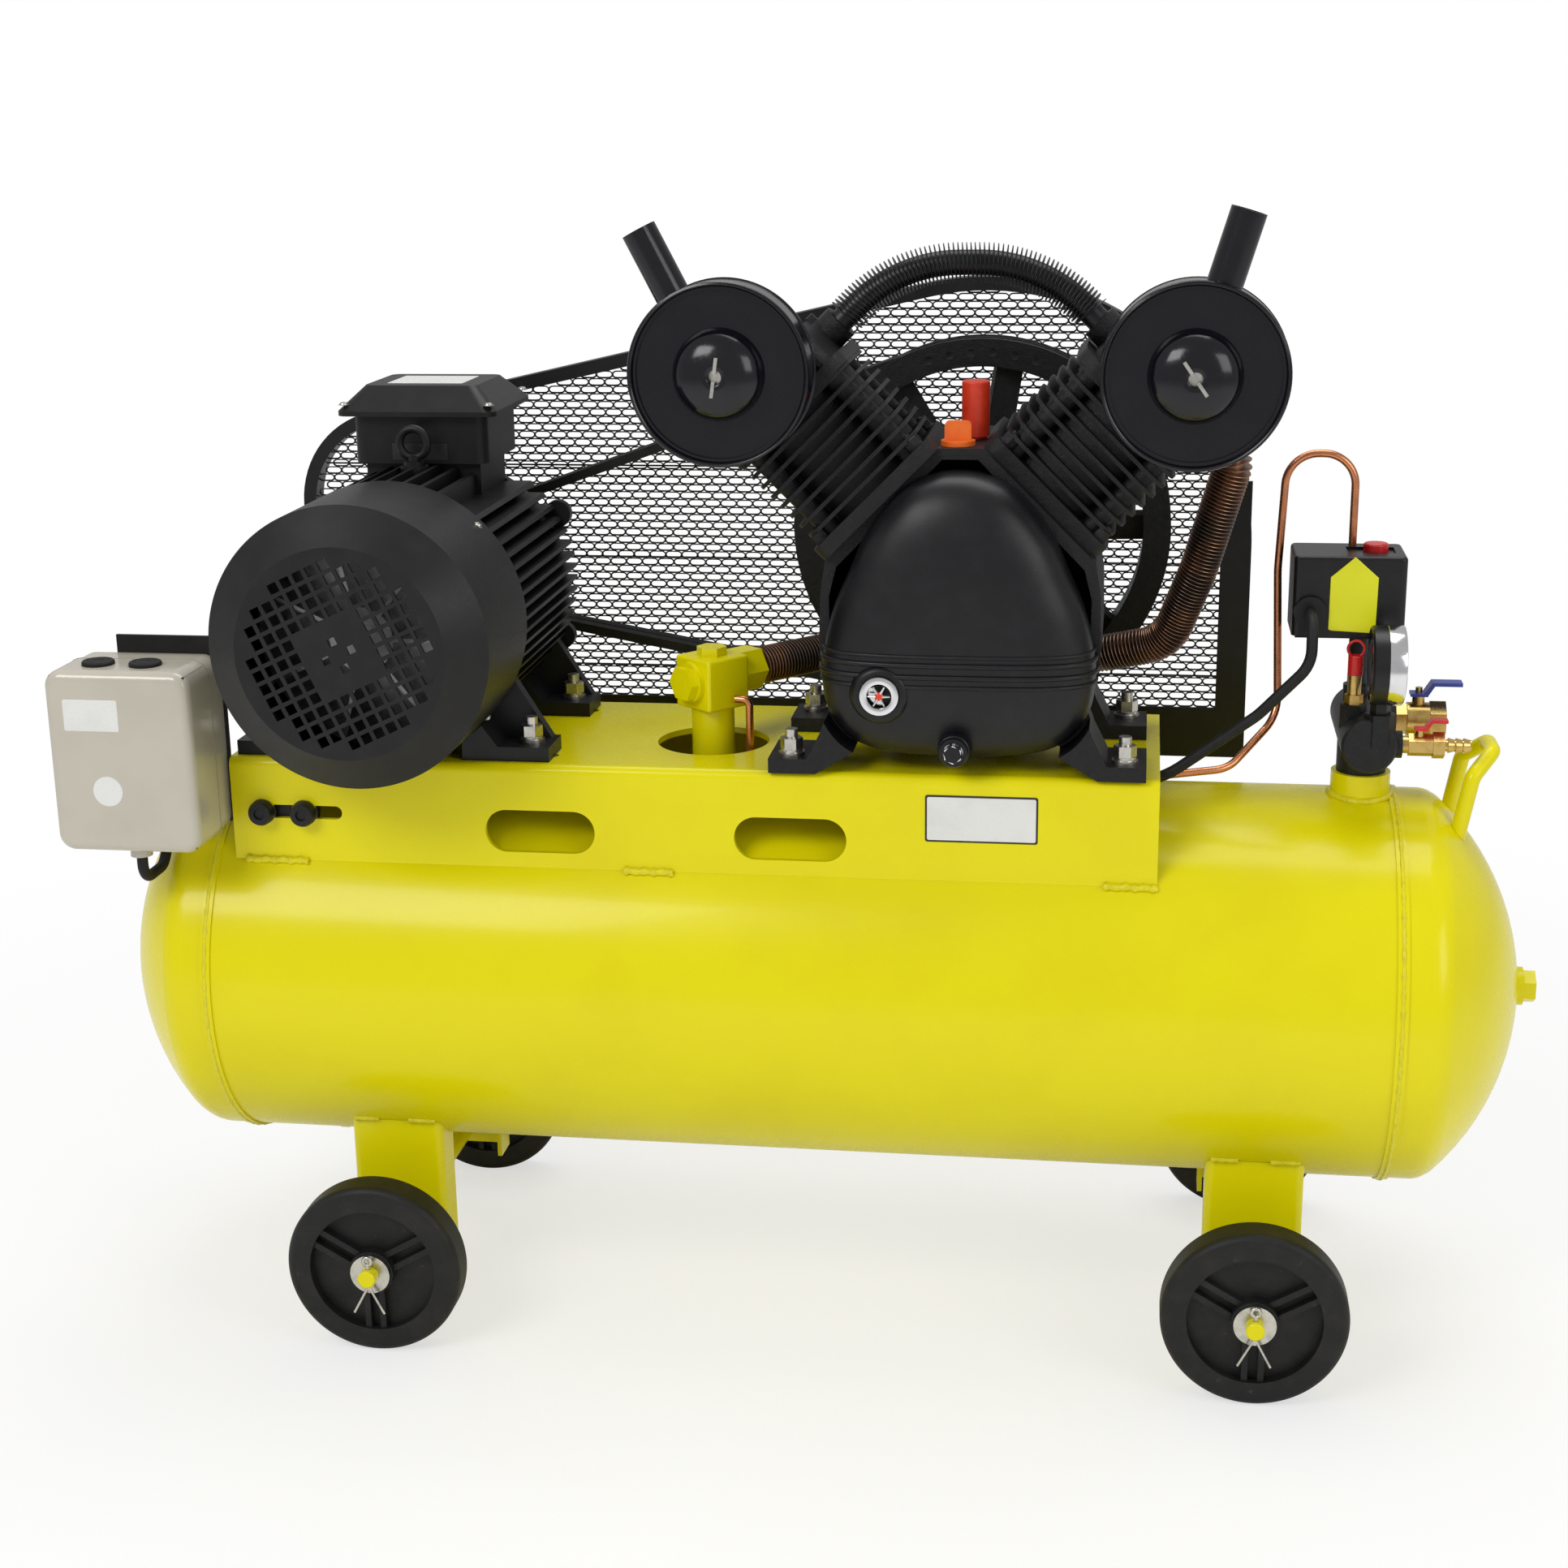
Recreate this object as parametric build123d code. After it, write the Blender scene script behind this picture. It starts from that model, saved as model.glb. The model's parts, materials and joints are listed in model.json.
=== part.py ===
from build123d import *
import math
import os

# Belt-driven V-twin air compressor on a wheeled horizontal tank, millimetres.
# +X runs along the tank, -Y is the front (wheel caps, starter, oil glass), +Z is up.
# Shapes are laid out about the tank centre with the floor at z = 0, then every
# sub-part is moved so that the origin is the bottom centre of the bounding box.

# ---------------------------------------------------------------- tank and stand
TANK_R = 164.0
TANK_LEN = 1190.0
TANK_AXIS_Z = 296.5
TANK_WALL = 4.0
HEAD_SKIRT = 22.0
KNUCKLE_R = 26.0
HEAD_DEPTH = 86.0
SEAM_W = 9.0
SEAM_H = 1.6
WELD_GAP = 0.05

PLATE_TOP = 498.5
PLATE_T = 5.0
PLATE_X0 = -469.0
PLATE_X1 = 296.0
PLATE_FRONT = -117.5
PLATE_BACK = 104.0

WHEEL_R = 75.0
WHEEL_W = 32.0
WHEEL_Y = 180.0
WHEEL_X = (-347.0, 382.5)
AXLE_R = 7.5
AXLE_STICK = 14.0
RUN_FIT = 0.08
HUB_R = 19.0
HUB_EXTRA = 3.0
LEG_Y = 110.0
LEG_W = 80.0
LEG_T = 4.0
LEG_FLANGE = 34.0
LEG_BOTTOM = 58.0

# ---------------------------------------------------------------- pump
PUMP_X = 135.0
CRANK_Z = PLATE_TOP + 150.0
THROW = 30.0
BORE_R = 45.0
PISTON_FIT = 0.08
ROD_LEN = 132.0
PAD_U = 88.0
PAD_HALF = 63.0
BASE_T = 12.0
FIN_COUNT = 8
FIN_T = 3.2
BARREL_TOP = 186.0
HEAD_H = 46.0
FIN_HALF = 60.0
BARREL_R = 51.0
CYL_Y = {"left": -38.0, "right": -12.0}
CYL_DIR = {"left": -1.0, "right": 1.0}
CASE_FRONT = -88.0
CASE_BACK = 48.0
CASE_WALL = 8.0
COVER_DEPTH = 48.0
GLASS_X = -58.6
GLASS_Z = -80.5
BOSS_BACK = 92.0
BOSS_R = 34.0
SHAFT_R = 20.0
WEB_Y0 = 20.0
WEB_T = 15.0
PIN_R = 16.0
PIN_LEN = 16.0
ROD_W = 22.0
FOOT_BOLT_X = 133.0
FOOT_BOLT_Y = (-104.0, 44.0)
FOOT_T = 12.0
BOLT_R = 5.0
BOLT_HOLE_FIT = 0.5

# ---------------------------------------------------------------- belt drive
DRIVE_Y = 180.0
FLY_R = 167.0
FLY_W = 40.0
FLY_RIM = 24.0
SPOKES = 9
SPOKE_PHASE = 1.0
HUB_FLY_R = 40.0
PULLEY_R = 46.0
PULLEY_W = 38.0
BELT_W = 13.0
BELT_H = 8.0
BELT_PITCH = 15.5
BELT_SINK = 0.8
GROOVE_SIDE = 0.3
GROOVE_FLOOR = 0.5

# ---------------------------------------------------------------- motor
MOTOR_X = -331.5
MOTOR_RISE = 113.5
MOTOR_Z = PLATE_TOP + MOTOR_RISE
FRAME_R = 94.0
FRAME_FIN_R = 112.0
FRAME_Y0 = -88.0
FRAME_Y1 = 105.0
FRAME_WALL = 9.0
FRAME_FIN_T = 3.2
FRAME_FIN_PITCH = 10.4
FRAME_FINS = 17
COVER_R = 113.0
COVER_Y0 = -200.0
COVER_Y1 = -82.0
COVER_FIT = 0.1
COVER_NOSE = 22.0
GRILLE_R = 84.0
GRILLE_PITCH = 11.2
GRILLE_HOLE = 7.9
GRILLE_CELLS = 7
GRILLE_TILT = 25.0
SHEET = 2.0
MOTOR_SHAFT_R = 14.0
MOTOR_FOOT_X = 114.0
MOTOR_FOOT_Y = (-85.0, 66.0)
MOTOR_FOOT_OUT = 133.0
BOX_HALF = 58.0
BOX_Y0 = 18.0
BOX_Y1 = 122.0
BOX_TOP = 765.0
LID_H = 24.0
LID_EDGE = 4.0
LID_LAP = 11.0

# ---------------------------------------------------------------- guard
GUARD_Y0 = 206.0
GUARD_Y1 = 228.0
GUARD_BAND = 12.0
GUARD_ARC_R = 239.0
GUARD_ARC_Z = 626.0
GUARD_LEFT = -505.0
GUARD_BOTTOM = 432.0
GUARD_SLOPE = 12.6
GUARD_NOSE_R = 88.0
MESH_T = 2.0

# ---------------------------------------------------------------- filters
FILTER_R = 69.0
FILTER_FRONT = -166.0
FILTER_DEPTH = 46.0
FILTER_U = 246.0
FILTER_V = 4.0
SILENCER_R = 13.5
SILENCER_LEN = 53.5
SILENCER_LEAN = {"left": 27.3, "right": -16.7}
SILENCER_SHIFT = {"left": -6.6, "right": 0.0}

# ---------------------------------------------------------------- pipes and lines
FINPIPE_R = 16.0
PIPE_R = 10.0
COPPER_R = 3.2
CABLE_R = 4.5
GLAND_AT = (-532.0, -163.0)
VALVE_AT = (-76.0, -25.0, 545.0)
VALVE_HALF = 22.0
VALVE_TURN = 49.5
PORT_LIFT = 10.0

# ---------------------------------------------------------------- outlet end
OUT_X = 460.0
MANI_Z = 516.0
MANI_R = 22.0
MANI_Y0 = -62.0
MANI_Y1 = 62.0
SWITCH_X = (398.0, 487.0)
SWITCH_Y = (-18.0, 46.0)
SWITCH_Z = (594.0, 661.0)
OUTLET_R = 9.3
OUTLET_DEPTH = 8.0
KNOB_R = 10.0
KNOB_FIT = 0.25
SAFETY_AT = (OUT_X - 11.0, -27.0)
GAUGE_R = 31.5
GAUGE_T = 26.0
GAUGE_Y = -52.0
GAUGE_Z = 581.0

# ---------------------------------------------------------------- starter
STARTER_X = (-593.0, -471.0)
STARTER_Z = (435.0, 586.0)
STARTER_Y0 = -187.5
STARTER_Y1 = -112.5
STARTER_SPLIT = -140.0

PARTS = {}


def rod(r, a, b):
    """Solid round bar of radius r from point a to point b."""
    a = Vector(*a)
    b = Vector(*b)
    d = b - a
    plane = Plane(origin=a, z_dir=d)
    return extrude(plane * Circle(r), amount=d.length)


def ring(r_out, r_in, a, b):
    """Tube between two points."""
    a = Vector(*a)
    b = Vector(*b)
    d = b - a
    plane = Plane(origin=a, z_dir=d)
    return extrude(plane * (Circle(r_out) - Circle(r_in)), amount=d.length)


def hexbar(across, a, b):
    """Hexagonal bar, `across` flats, between two points."""
    a = Vector(*a)
    b = Vector(*b)
    d = b - a
    plane = Plane(origin=a, z_dir=d)
    return extrude(plane * RegularPolygon(across / math.sqrt(3.0), 6), amount=d.length)


def block(x, y, z):
    """Box from three (low, high) pairs."""
    c = ((x[0] + x[1]) / 2.0, (y[0] + y[1]) / 2.0, (z[0] + z[1]) / 2.0)
    return Pos(*c) * Box(x[1] - x[0], y[1] - y[0], z[1] - z[0])


def xz_prism(points, y0, y1):
    """Prism of a closed (x, z) outline between two y planes."""
    wire = Polyline(*[(p[0], y0, p[1]) for p in points], close=True)
    return extrude(make_face(wire), amount=y1 - y0, dir=(0, 1, 0))


def only(shape):
    """The one solid of a boolean result."""
    solids = shape.solids()
    solids.sort(key=lambda s: -s.volume)
    return solids[0]


def tube_along(points, radii, r):
    """Round bar swept along straight runs joined by tangent arcs."""
    path = FilletPolyline(*points, radius=radii)
    start = Plane(origin=path @ 0, z_dir=path % 0)
    return sweep(start * Circle(r), path=path), path.length


# ================================================================= tank group
def tank_profile(shrink):
    """Half outline of the vessel, moved inwards by `shrink`, in the X-R plane, with dished heads."""
    crown = (TANK_R ** 2 + HEAD_DEPTH ** 2 - 2.0 * TANK_R * KNUCKLE_R) / (2.0 * (HEAD_DEPTH - KNUCKLE_R))
    knee = TANK_LEN / 2.0 - HEAD_DEPTH
    crown_x = knee + HEAD_DEPTH - crown
    meet = math.asin((TANK_R - KNUCKLE_R) / (crown - KNUCKLE_R))
    crown -= shrink
    knuckle = KNUCKLE_R - shrink

    def on_crown(sign, turn):
        return (sign * (crown_x + crown * math.cos(turn)), crown * math.sin(turn))

    def on_knuckle(sign, turn):
        return (sign * (knee + knuckle * math.cos(turn)), TANK_R - KNUCKLE_R + knuckle * math.sin(turn))

    top = math.pi / 2.0
    with BuildSketch(Plane.XZ) as sk:
        with BuildLine():
            for sign in (-1, 1):
                ThreePointArc(on_crown(sign, 0.0), on_crown(sign, meet / 2.0), on_crown(sign, meet))
                ThreePointArc(on_crown(sign, meet), on_knuckle(sign, (meet + top) / 2.0),
                              on_knuckle(sign, top))
            Line(on_knuckle(-1, top), on_knuckle(1, top))
            Line(on_crown(-1, 0.0), on_crown(1, 0.0))
        make_face()
    return sk.sketch


def tank():
    outer = revolve(tank_profile(0.0), axis=Axis.X)
    inner = revolve(tank_profile(TANK_WALL), axis=Axis.X)
    body = outer - inner
    knee = TANK_LEN / 2.0 - HEAD_DEPTH - HEAD_SKIRT
    for x in (-knee, knee):
        body += ring(TANK_R + SEAM_H, TANK_R - TANK_WALL / 2.0, (x - SEAM_W / 2, 0, 0), (x + SEAM_W / 2,
                0, 0))
    return Pos(0, 0, TANK_AXIS_Z) * only(body)


def tank_cut():
    """Everything inside the outer skin and its seams, for trimming welded pieces."""
    body = revolve(tank_profile(-WELD_GAP), axis=Axis.X)
    knee = TANK_LEN / 2.0 - HEAD_DEPTH - HEAD_SKIRT
    wide = SEAM_W / 2.0 + WELD_GAP
    for x in (-knee, knee):
        body += rod(TANK_R + SEAM_H + WELD_GAP, (x - wide, 0, 0), (x + wide, 0, 0))
    return Pos(0, 0, TANK_AXIS_Z) * only(body)


def tank_fittings(cut):
    top = TANK_AXIS_Z + TANK_R
    bottom = TANK_AXIS_Z - TANK_R
    end = TANK_LEN / 2.0
    outlet = ring(24.0, 17.0, (OUT_X, 0, top - 8.0), (OUT_X, 0, top + 20.0))
    inlet = ring(19.0, 13.0, (VALVE_AT[0], VALVE_AT[1], top - 8.0), (VALVE_AT[0], VALVE_AT[1], top + 18.0))
    end_boss = ring(16.0, 10.0, (end - 14.0, 0, TANK_AXIS_Z), (end + 6.0, 0, TANK_AXIS_Z))
    plug = rod(9.9, (end + 1.0, 0, TANK_AXIS_Z), (end + 6.0, 0, TANK_AXIS_Z))
    plug += hexbar(24.0, (end + 6.0, 0, TANK_AXIS_Z), (end + 16.0, 0, TANK_AXIS_Z))
    drain_x = -430.0
    drain_boss = ring(13.0, 6.0, (drain_x, 0, bottom - 5.0), (drain_x, 0, bottom + 6.0))
    drain = rod(5.9, (drain_x, 0, bottom - 5.0), (drain_x, 0, bottom - 1.0))
    drain += hexbar(14.0, (drain_x, 0, bottom - 14.0), (drain_x, 0, bottom - 5.0))
    bosses = [only(b - cut) for b in (outlet, inlet, end_boss, drain_boss)]
    return Compound(bosses + [only(plug), only(drain)])


def base_plate(cut):
    span = (PLATE_FRONT, PLATE_BACK)
    low = TANK_AXIS_Z + 60.0
    body = block((PLATE_X0, PLATE_X1), span, (low, PLATE_TOP))
    body = fillet(body.edges().filter_by(Axis.X).group_by(Axis.Z)[-1], PLATE_T + 2.0)
    hollow = block((PLATE_X0 - 1, PLATE_X1 + 1), (span[0] + PLATE_T, span[1] - PLATE_T),
                   (low - 1, PLATE_TOP - PLATE_T))
    body = body - hollow - cut
    for x in (-206.0, 1.5):
        slot = Plane.XZ * Pos(x, 442.0) * SlotOverall(92.0, 36.0)
        body -= extrude(slot, amount=20.0, both=True).moved(Location((0, PLATE_FRONT, 0)))
    slot = Plane.XZ * Pos(-412.0, 453.0) * SlotOverall(76.0, 11.5)
    body -= extrude(slot, amount=20.0, both=True).moved(Location((0, PLATE_FRONT, 0)))
    body -= rod(47.0, (VALVE_AT[0], VALVE_AT[1], PLATE_TOP - 20), (VALVE_AT[0], VALVE_AT[1], PLATE_TOP + 5))
    for s in (-1, 1):
        for y in FOOT_BOLT_Y:
            body -= rod(BOLT_R + BOLT_HOLE_FIT, (PUMP_X + s * FOOT_BOLT_X, y, PLATE_TOP - 20),
                        (PUMP_X + s * FOOT_BOLT_X, y, PLATE_TOP + 5))
        for y in MOTOR_FOOT_Y:
            slot = Pos(MOTOR_X + s * MOTOR_FOOT_X, y, PLATE_TOP) * SlotOverall(44.0, 11.0)
            body -= extrude(slot, amount=20.0, both=True)
    return only(body)


def leg(x, side, cut):
    """Folded sheet leg: outer web with two flanges turned inwards."""
    y0 = side * LEG_Y
    y1 = y0 - side * LEG_FLANGE
    ys = (min(y0, y1), max(y0, y1))
    top = TANK_AXIS_Z
    body = block((x - LEG_W / 2, x + LEG_W / 2), ys, (LEG_BOTTOM, top))
    outer = [e for e in body.edges().filter_by(Axis.Z) if abs(e.center().Y - y0) < 0.01]
    body = fillet(outer, LEG_T + 3.0)
    inner_y = (ys[0] + LEG_T, ys[1] + 1) if side < 0 else (ys[0] - 1, ys[1] - LEG_T)
    body -= block((x - LEG_W / 2 + LEG_T, x + LEG_W / 2 - LEG_T), inner_y, (LEG_BOTTOM - 1, top + 1))
    body -= rod(AXLE_R, (x, ys[0] - 20, WHEEL_R), (x, ys[1] + 20, WHEEL_R))
    return only(body - cut)


def legs(cut):
    return Compound([leg(x, s, cut) for x in WHEEL_X for s in (-1, 1)])


def axle(x):
    end = WHEEL_Y + WHEEL_W / 2 + HUB_EXTRA + AXLE_STICK
    bar = rod(AXLE_R, (x, -end, WHEEL_R), (x, end, WHEEL_R))
    bar = chamfer(bar.edges(), 1.2)
    for s in (-1, 1):
        y = s * (end - 6.0)
        bar -= rod(1.9, (x, y, WHEEL_R - 20), (x, y, WHEEL_R + 20))
    for s in (-1, 1):
        y = s * (WHEEL_Y - WHEEL_W / 2 - HUB_EXTRA)
        collar = ring(13.0, AXLE_R - 0.5, (x, y - s * 7.0, WHEEL_R), (x, y - s * 1.0, WHEEL_R))
        bar += collar
    return only(bar)


def axles():
    return Compound([axle(x) for x in WHEEL_X])


def wheel(x, s):
    """Moulded wheel with a rounded tread, dished faces, hub and three double ribs."""
    half = WHEEL_W / 2
    tread = rod(WHEEL_R, (x, s * WHEEL_Y - half, WHEEL_R), (x, s * WHEEL_Y + half, WHEEL_R))
    tread = fillet(tread.edges().filter_by(GeomType.CIRCLE), 7.0)
    for f in (-1, 1):
        y = s * WHEEL_Y + f * half
        tread -= ring(54.0, HUB_R, (x, y - f * 9.0, WHEEL_R), (x, y + f * 1.0, WHEEL_R))
    hub_half = half + HUB_EXTRA
    tread += rod(HUB_R, (x, s * WHEEL_Y - hub_half, WHEEL_R), (x, s * WHEEL_Y + hub_half, WHEEL_R))
    for k in range(3):
        a = 90.0 + 120.0 * k
        for off in (-6.5, 6.5):
            rib = Pos(x, s * WHEEL_Y, WHEEL_R) * Rot(0, a, 0) * Pos(36.0, 0, off) * Box(40.0,
                    WHEEL_W - 4.0, 5.0)
            tread += rib
    tread -= rod(AXLE_R + RUN_FIT, (x, s * WHEEL_Y - 40, WHEEL_R), (x, s * WHEEL_Y + 40, WHEEL_R))
    return only(tread)


def axle_keepers():
    """A flat washer and a split pin at each axle end."""
    out = []
    face = WHEEL_Y + WHEEL_W / 2 + HUB_EXTRA
    end = face + AXLE_STICK
    for x in WHEEL_X:
        for s in (-1, 1):
            y = s * (face + 0.6)
            out.append(only(ring(17.0, AXLE_R, (x, y, WHEEL_R), (x, y + s * 2.5, WHEEL_R))))
            py = s * (end - 6.0)
            pin = rod(1.7, (x, py, WHEEL_R - 11.0), (x, py, WHEEL_R + 12.0))
            pin += Pos(x, py, WHEEL_R + 14.5) * Rot(90, 0, 0) * Torus(3.4, 1.5)
            for d in (-1, 1):
                pin += rod(1.1, (x + d * 0.5, py, WHEEL_R - 9.0), (x + d * 13.0, py + s * 1.5,
                        WHEEL_R - 32.0))
            out.append(only(pin))
    return Compound(out)


def handle(s, cut):
    """Bent round-bar lifting handle welded to the shoulder of a head."""
    base_x = s * 531.0
    low = TANK_AXIS_Z + 112.0
    pts = [(base_x, -34.0, low), (s * 545.0, -34.0, 486.0), (s * 562.0, -16.0, 503.0),
           (s * 562.0, 16.0, 503.0), (s * 545.0, 34.0, 486.0), (base_x, 34.0, low)]
    bar, _ = tube_along(pts, 11.0, 6.5)
    return only(bar - cut)


def handles(cut):
    return Compound([handle(s, cut) for s in (-1, 1)])


# ================================================================= pump group
CASE_HALF = [(0.0, -134.0), (60.0, -131.0), (90.0, -121.0), (104.0, -99.0), (111.0, -70.0), (112.0, -50.0),
             (111.0, -10.0)]


def bore_plane(side, along):
    """Plane normal to a bore at distance `along` from the crank axis."""
    d = CYL_DIR[side]
    k = math.sqrt(0.5)
    org = (PUMP_X + d * along * k, CYL_Y[side], CRANK_Z + along * k)
    return Plane(origin=org, x_dir=(0, 1, 0), z_dir=(d * k, 0, k))


def bore_point(side, u, v, y):
    """Point at u along the bore and v towards the middle of the V."""
    d = CYL_DIR[side]
    k = math.sqrt(0.5)
    return (PUMP_X + d * k * (u - v), y, CRANK_Z + k * (u + v))


def case_outline():
    k = math.sqrt(0.5)
    far = (k * (PAD_U + PAD_HALF), k * (PAD_U - PAD_HALF))
    near = (k * (PAD_U - PAD_HALF), k * (PAD_U + PAD_HALF))
    right = CASE_HALF + [far, near]
    left = [(-x, z) for x, z in reversed(right)]
    return [(PUMP_X + x, CRANK_Z + z) for x, z in right + left[:-1]]


def crankcase():
    body = xz_prism(case_outline(), CASE_FRONT, CASE_BACK)
    body += rod(BOSS_R, (PUMP_X, CASE_BACK - 1, CRANK_Z), (PUMP_X, BOSS_BACK, CRANK_Z))
    for s in (-1, 1):
        for y in FOOT_BOLT_Y:
            arm = [(s * 76.0, 22.0), (s * 100.0, 56.0), (s * 108.0, 34.0), (s * 119.0, FOOT_T),
                   (s * 150.0, FOOT_T), (s * 150.0, 0.0), (s * 112.0, 0.0)]
            arm = [(PUMP_X + a, PLATE_TOP + b) for a, b in arm]
            ys = (y - 17.0, y + 44.0) if y < 0 else (y - 34.0, y + 17.0)
            body += xz_prism(arm, *ys)
    body -= extrude(smooth_face(cover_outline(1.03), CASE_FRONT), amount=COVER_DEPTH + 5.0, dir=(0, -1, 0))
    inner = [(0.0, -126.0), (58.0, -123.0), (84.0, -114.0), (96.0, -95.0), (103.0, -68.0), (104.0, -12.0),
             (98.0, 12.0), (14.0, 98.0), (0.0, 98.0)]
    inner = inner + [(-x, z) for x, z in reversed(inner[1:-1])]
    body -= xz_prism([(PUMP_X + x, CRANK_Z + z) for x, z in inner], CASE_FRONT - 40.0,
            CASE_BACK - CASE_WALL)
    for side in ("left", "right"):
        body -= extrude(bore_plane(side, PAD_U - 30.0) * Circle(BORE_R + 3.0), amount=60.0)
    body -= rod(SHAFT_R + 0.06, (PUMP_X, 0, CRANK_Z), (PUMP_X, BOSS_BACK + 5, CRANK_Z))
    for s in (-1, 1):
        for y in FOOT_BOLT_Y:
            x = PUMP_X + s * FOOT_BOLT_X
            body -= rod(BOLT_R + BOLT_HOLE_FIT, (x, y, PLATE_TOP - 5), (x, y, PLATE_TOP + 50))
    body -= rod(7.0, (PUMP_X - 3.0, -70.0, CRANK_Z + 80), (PUMP_X - 3.0, -70.0, CRANK_Z + 130))
    body -= rod(6.0, (PUMP_X + 8.0, -30.0, CRANK_Z + 80), (PUMP_X + 8.0, -30.0, CRANK_Z + 130))
    return only(body)


def cover_outline(shrink):
    half = [(0.0, -138.0), (54.0, -135.0), (86.0, -124.0), (104.0, -100.0), (109.0, -72.0), (107.0, -50.0),
            (99.0, -18.0), (87.0, 10.0), (71.0, 38.0), (53.0, 61.0), (35.0, 77.0), (16.0, 84.5)]
    full = half + [(0.0, 86.0)] + [(-x, z) for x, z in reversed(half[1:])]
    cz = -25.0
    return [(PUMP_X + x * shrink, CRANK_Z + cz + (z - cz) * shrink) for x, z in full]


def smooth_face(points, y):
    pts = [(p[0], y, p[1]) for p in points]
    return make_face(Spline(*pts, periodic=True))


def crank_cover():
    front = CASE_FRONT - COVER_DEPTH
    body = extrude(smooth_face(cover_outline(1.0), CASE_FRONT), amount=COVER_DEPTH, dir=(0, -1, 0))
    edge = body.edges().group_by(Axis.Y)[0]
    body = fillet(edge, 24.0)
    hollow = extrude(smooth_face(cover_outline(0.92), CASE_FRONT + 1), amount=COVER_DEPTH - 7.0, dir=(0,
            -1, 0))
    body -= hollow
    glass = (PUMP_X + GLASS_X, CRANK_Z + GLASS_Z)
    body += rod(19.0, (glass[0], front + 3.0, glass[1]), (glass[0], front + 20.0, glass[1]))
    body -= rod(12.0, (glass[0], front - 5, glass[1]), (glass[0], front + 40, glass[1]))
    drain_z = CRANK_Z - 124.0
    body += rod(12.0, (PUMP_X, front - 2.0, drain_z), (PUMP_X, CASE_FRONT - 2.0, drain_z))
    body -= rod(6.0, (PUMP_X, front - 5, drain_z), (PUMP_X, CASE_FRONT + 2, drain_z))
    for z in (-62.0, -76.0, -88.0):
        w = 110.0 if z > -80 else 106.0
        rib = block((PUMP_X - w, PUMP_X + w), (front + 12, CASE_FRONT - 2), (CRANK_Z + z - 2,
                CRANK_Z + z + 2))
        keep = extrude(smooth_face(cover_outline(1.02), CASE_FRONT), amount=COVER_DEPTH, dir=(0, -1, 0))
        body += (rib & keep) - extrude(smooth_face(cover_outline(0.9), CASE_FRONT + 1),
                                       amount=COVER_DEPTH, dir=(0, -1, 0))
    return only(body)


def oil_fittings():
    front = CASE_FRONT - COVER_DEPTH
    gx = PUMP_X + GLASS_X
    gz = CRANK_Z + GLASS_Z
    glass = rod(11.9, (gx, front + 4.0, gz), (gx, front + 20.0, gz))
    glass += rod(15.5, (gx, front - 3.0, gz), (gx, front + 3.0, gz))
    dz = CRANK_Z - 124.0
    plug = rod(5.9, (PUMP_X, front - 2.0, dz), (PUMP_X, CASE_FRONT - 6.0, dz))
    plug += rod(11.0, (PUMP_X, front - 6.0, dz), (PUMP_X, front - 2.0, dz))
    plug += hexbar(13.0, (PUMP_X, front - 12.0, dz), (PUMP_X, front - 6.0, dz))
    return Compound([only(glass), only(plug)])


def filler_plug():
    x = PUMP_X - 3.0
    y = -70.0
    z = CRANK_Z + 107.0
    body = rod(6.7, (x, y, z - 8.0), (x, y, z))
    body += rod(13.5, (x, y, z), (x, y, z + 4.0))
    grip = block((x - 10.5, x + 10.5), (y - 3.5, y + 3.5), (z + 3.5, z + 19.0))
    body += fillet(grip.edges().filter_by(Axis.Y).group_by(Axis.Z)[-1], 4.0)
    return only(body)


def breather():
    x = PUMP_X + 8.0
    y = -30.0
    z = CRANK_Z + 107.0
    body = rod(6.0, (x, y, z - 8.0), (x, y, z))
    body += rod(9.0, (x, y, z), (x, y, z + 4.0))
    cap = rod(11.2, (x, y, z + 2.0), (x, y, z + 46.0))
    cap = fillet(cap.edges().group_by(Axis.Z)[-1], 2.0)
    return only(body + cap)


def fin_section(half, corner):
    return RectangleRounded(2 * half, 2 * half, corner)


def cylinder(side):
    body = extrude(bore_plane(side, PAD_U) * RectangleRounded(2 * PAD_HALF, 2 * PAD_HALF, 12.0),
            amount=BASE_T)
    body += extrude(bore_plane(side, PAD_U) * Circle(BARREL_R), amount=BARREL_TOP - PAD_U)
    start = PAD_U + BASE_T
    pitch = (BARREL_TOP - start) / FIN_COUNT
    for k in range(FIN_COUNT):
        u = start + pitch * (k + 1) - FIN_T
        body += extrude(bore_plane(side, u) * fin_section(FIN_HALF, 20.0), amount=FIN_T)
    for a, b in ((-1, -1), (-1, 1), (1, -1), (1, 1)):
        post = bore_plane(side, start - 1) * Pos(a * 43.0, b * 43.0) * Circle(8.5)
        body += extrude(post, amount=BARREL_TOP - start + 1)
    body -= extrude(bore_plane(side, PAD_U - 5) * Circle(BORE_R), amount=BARREL_TOP)
    return only(body)


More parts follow.
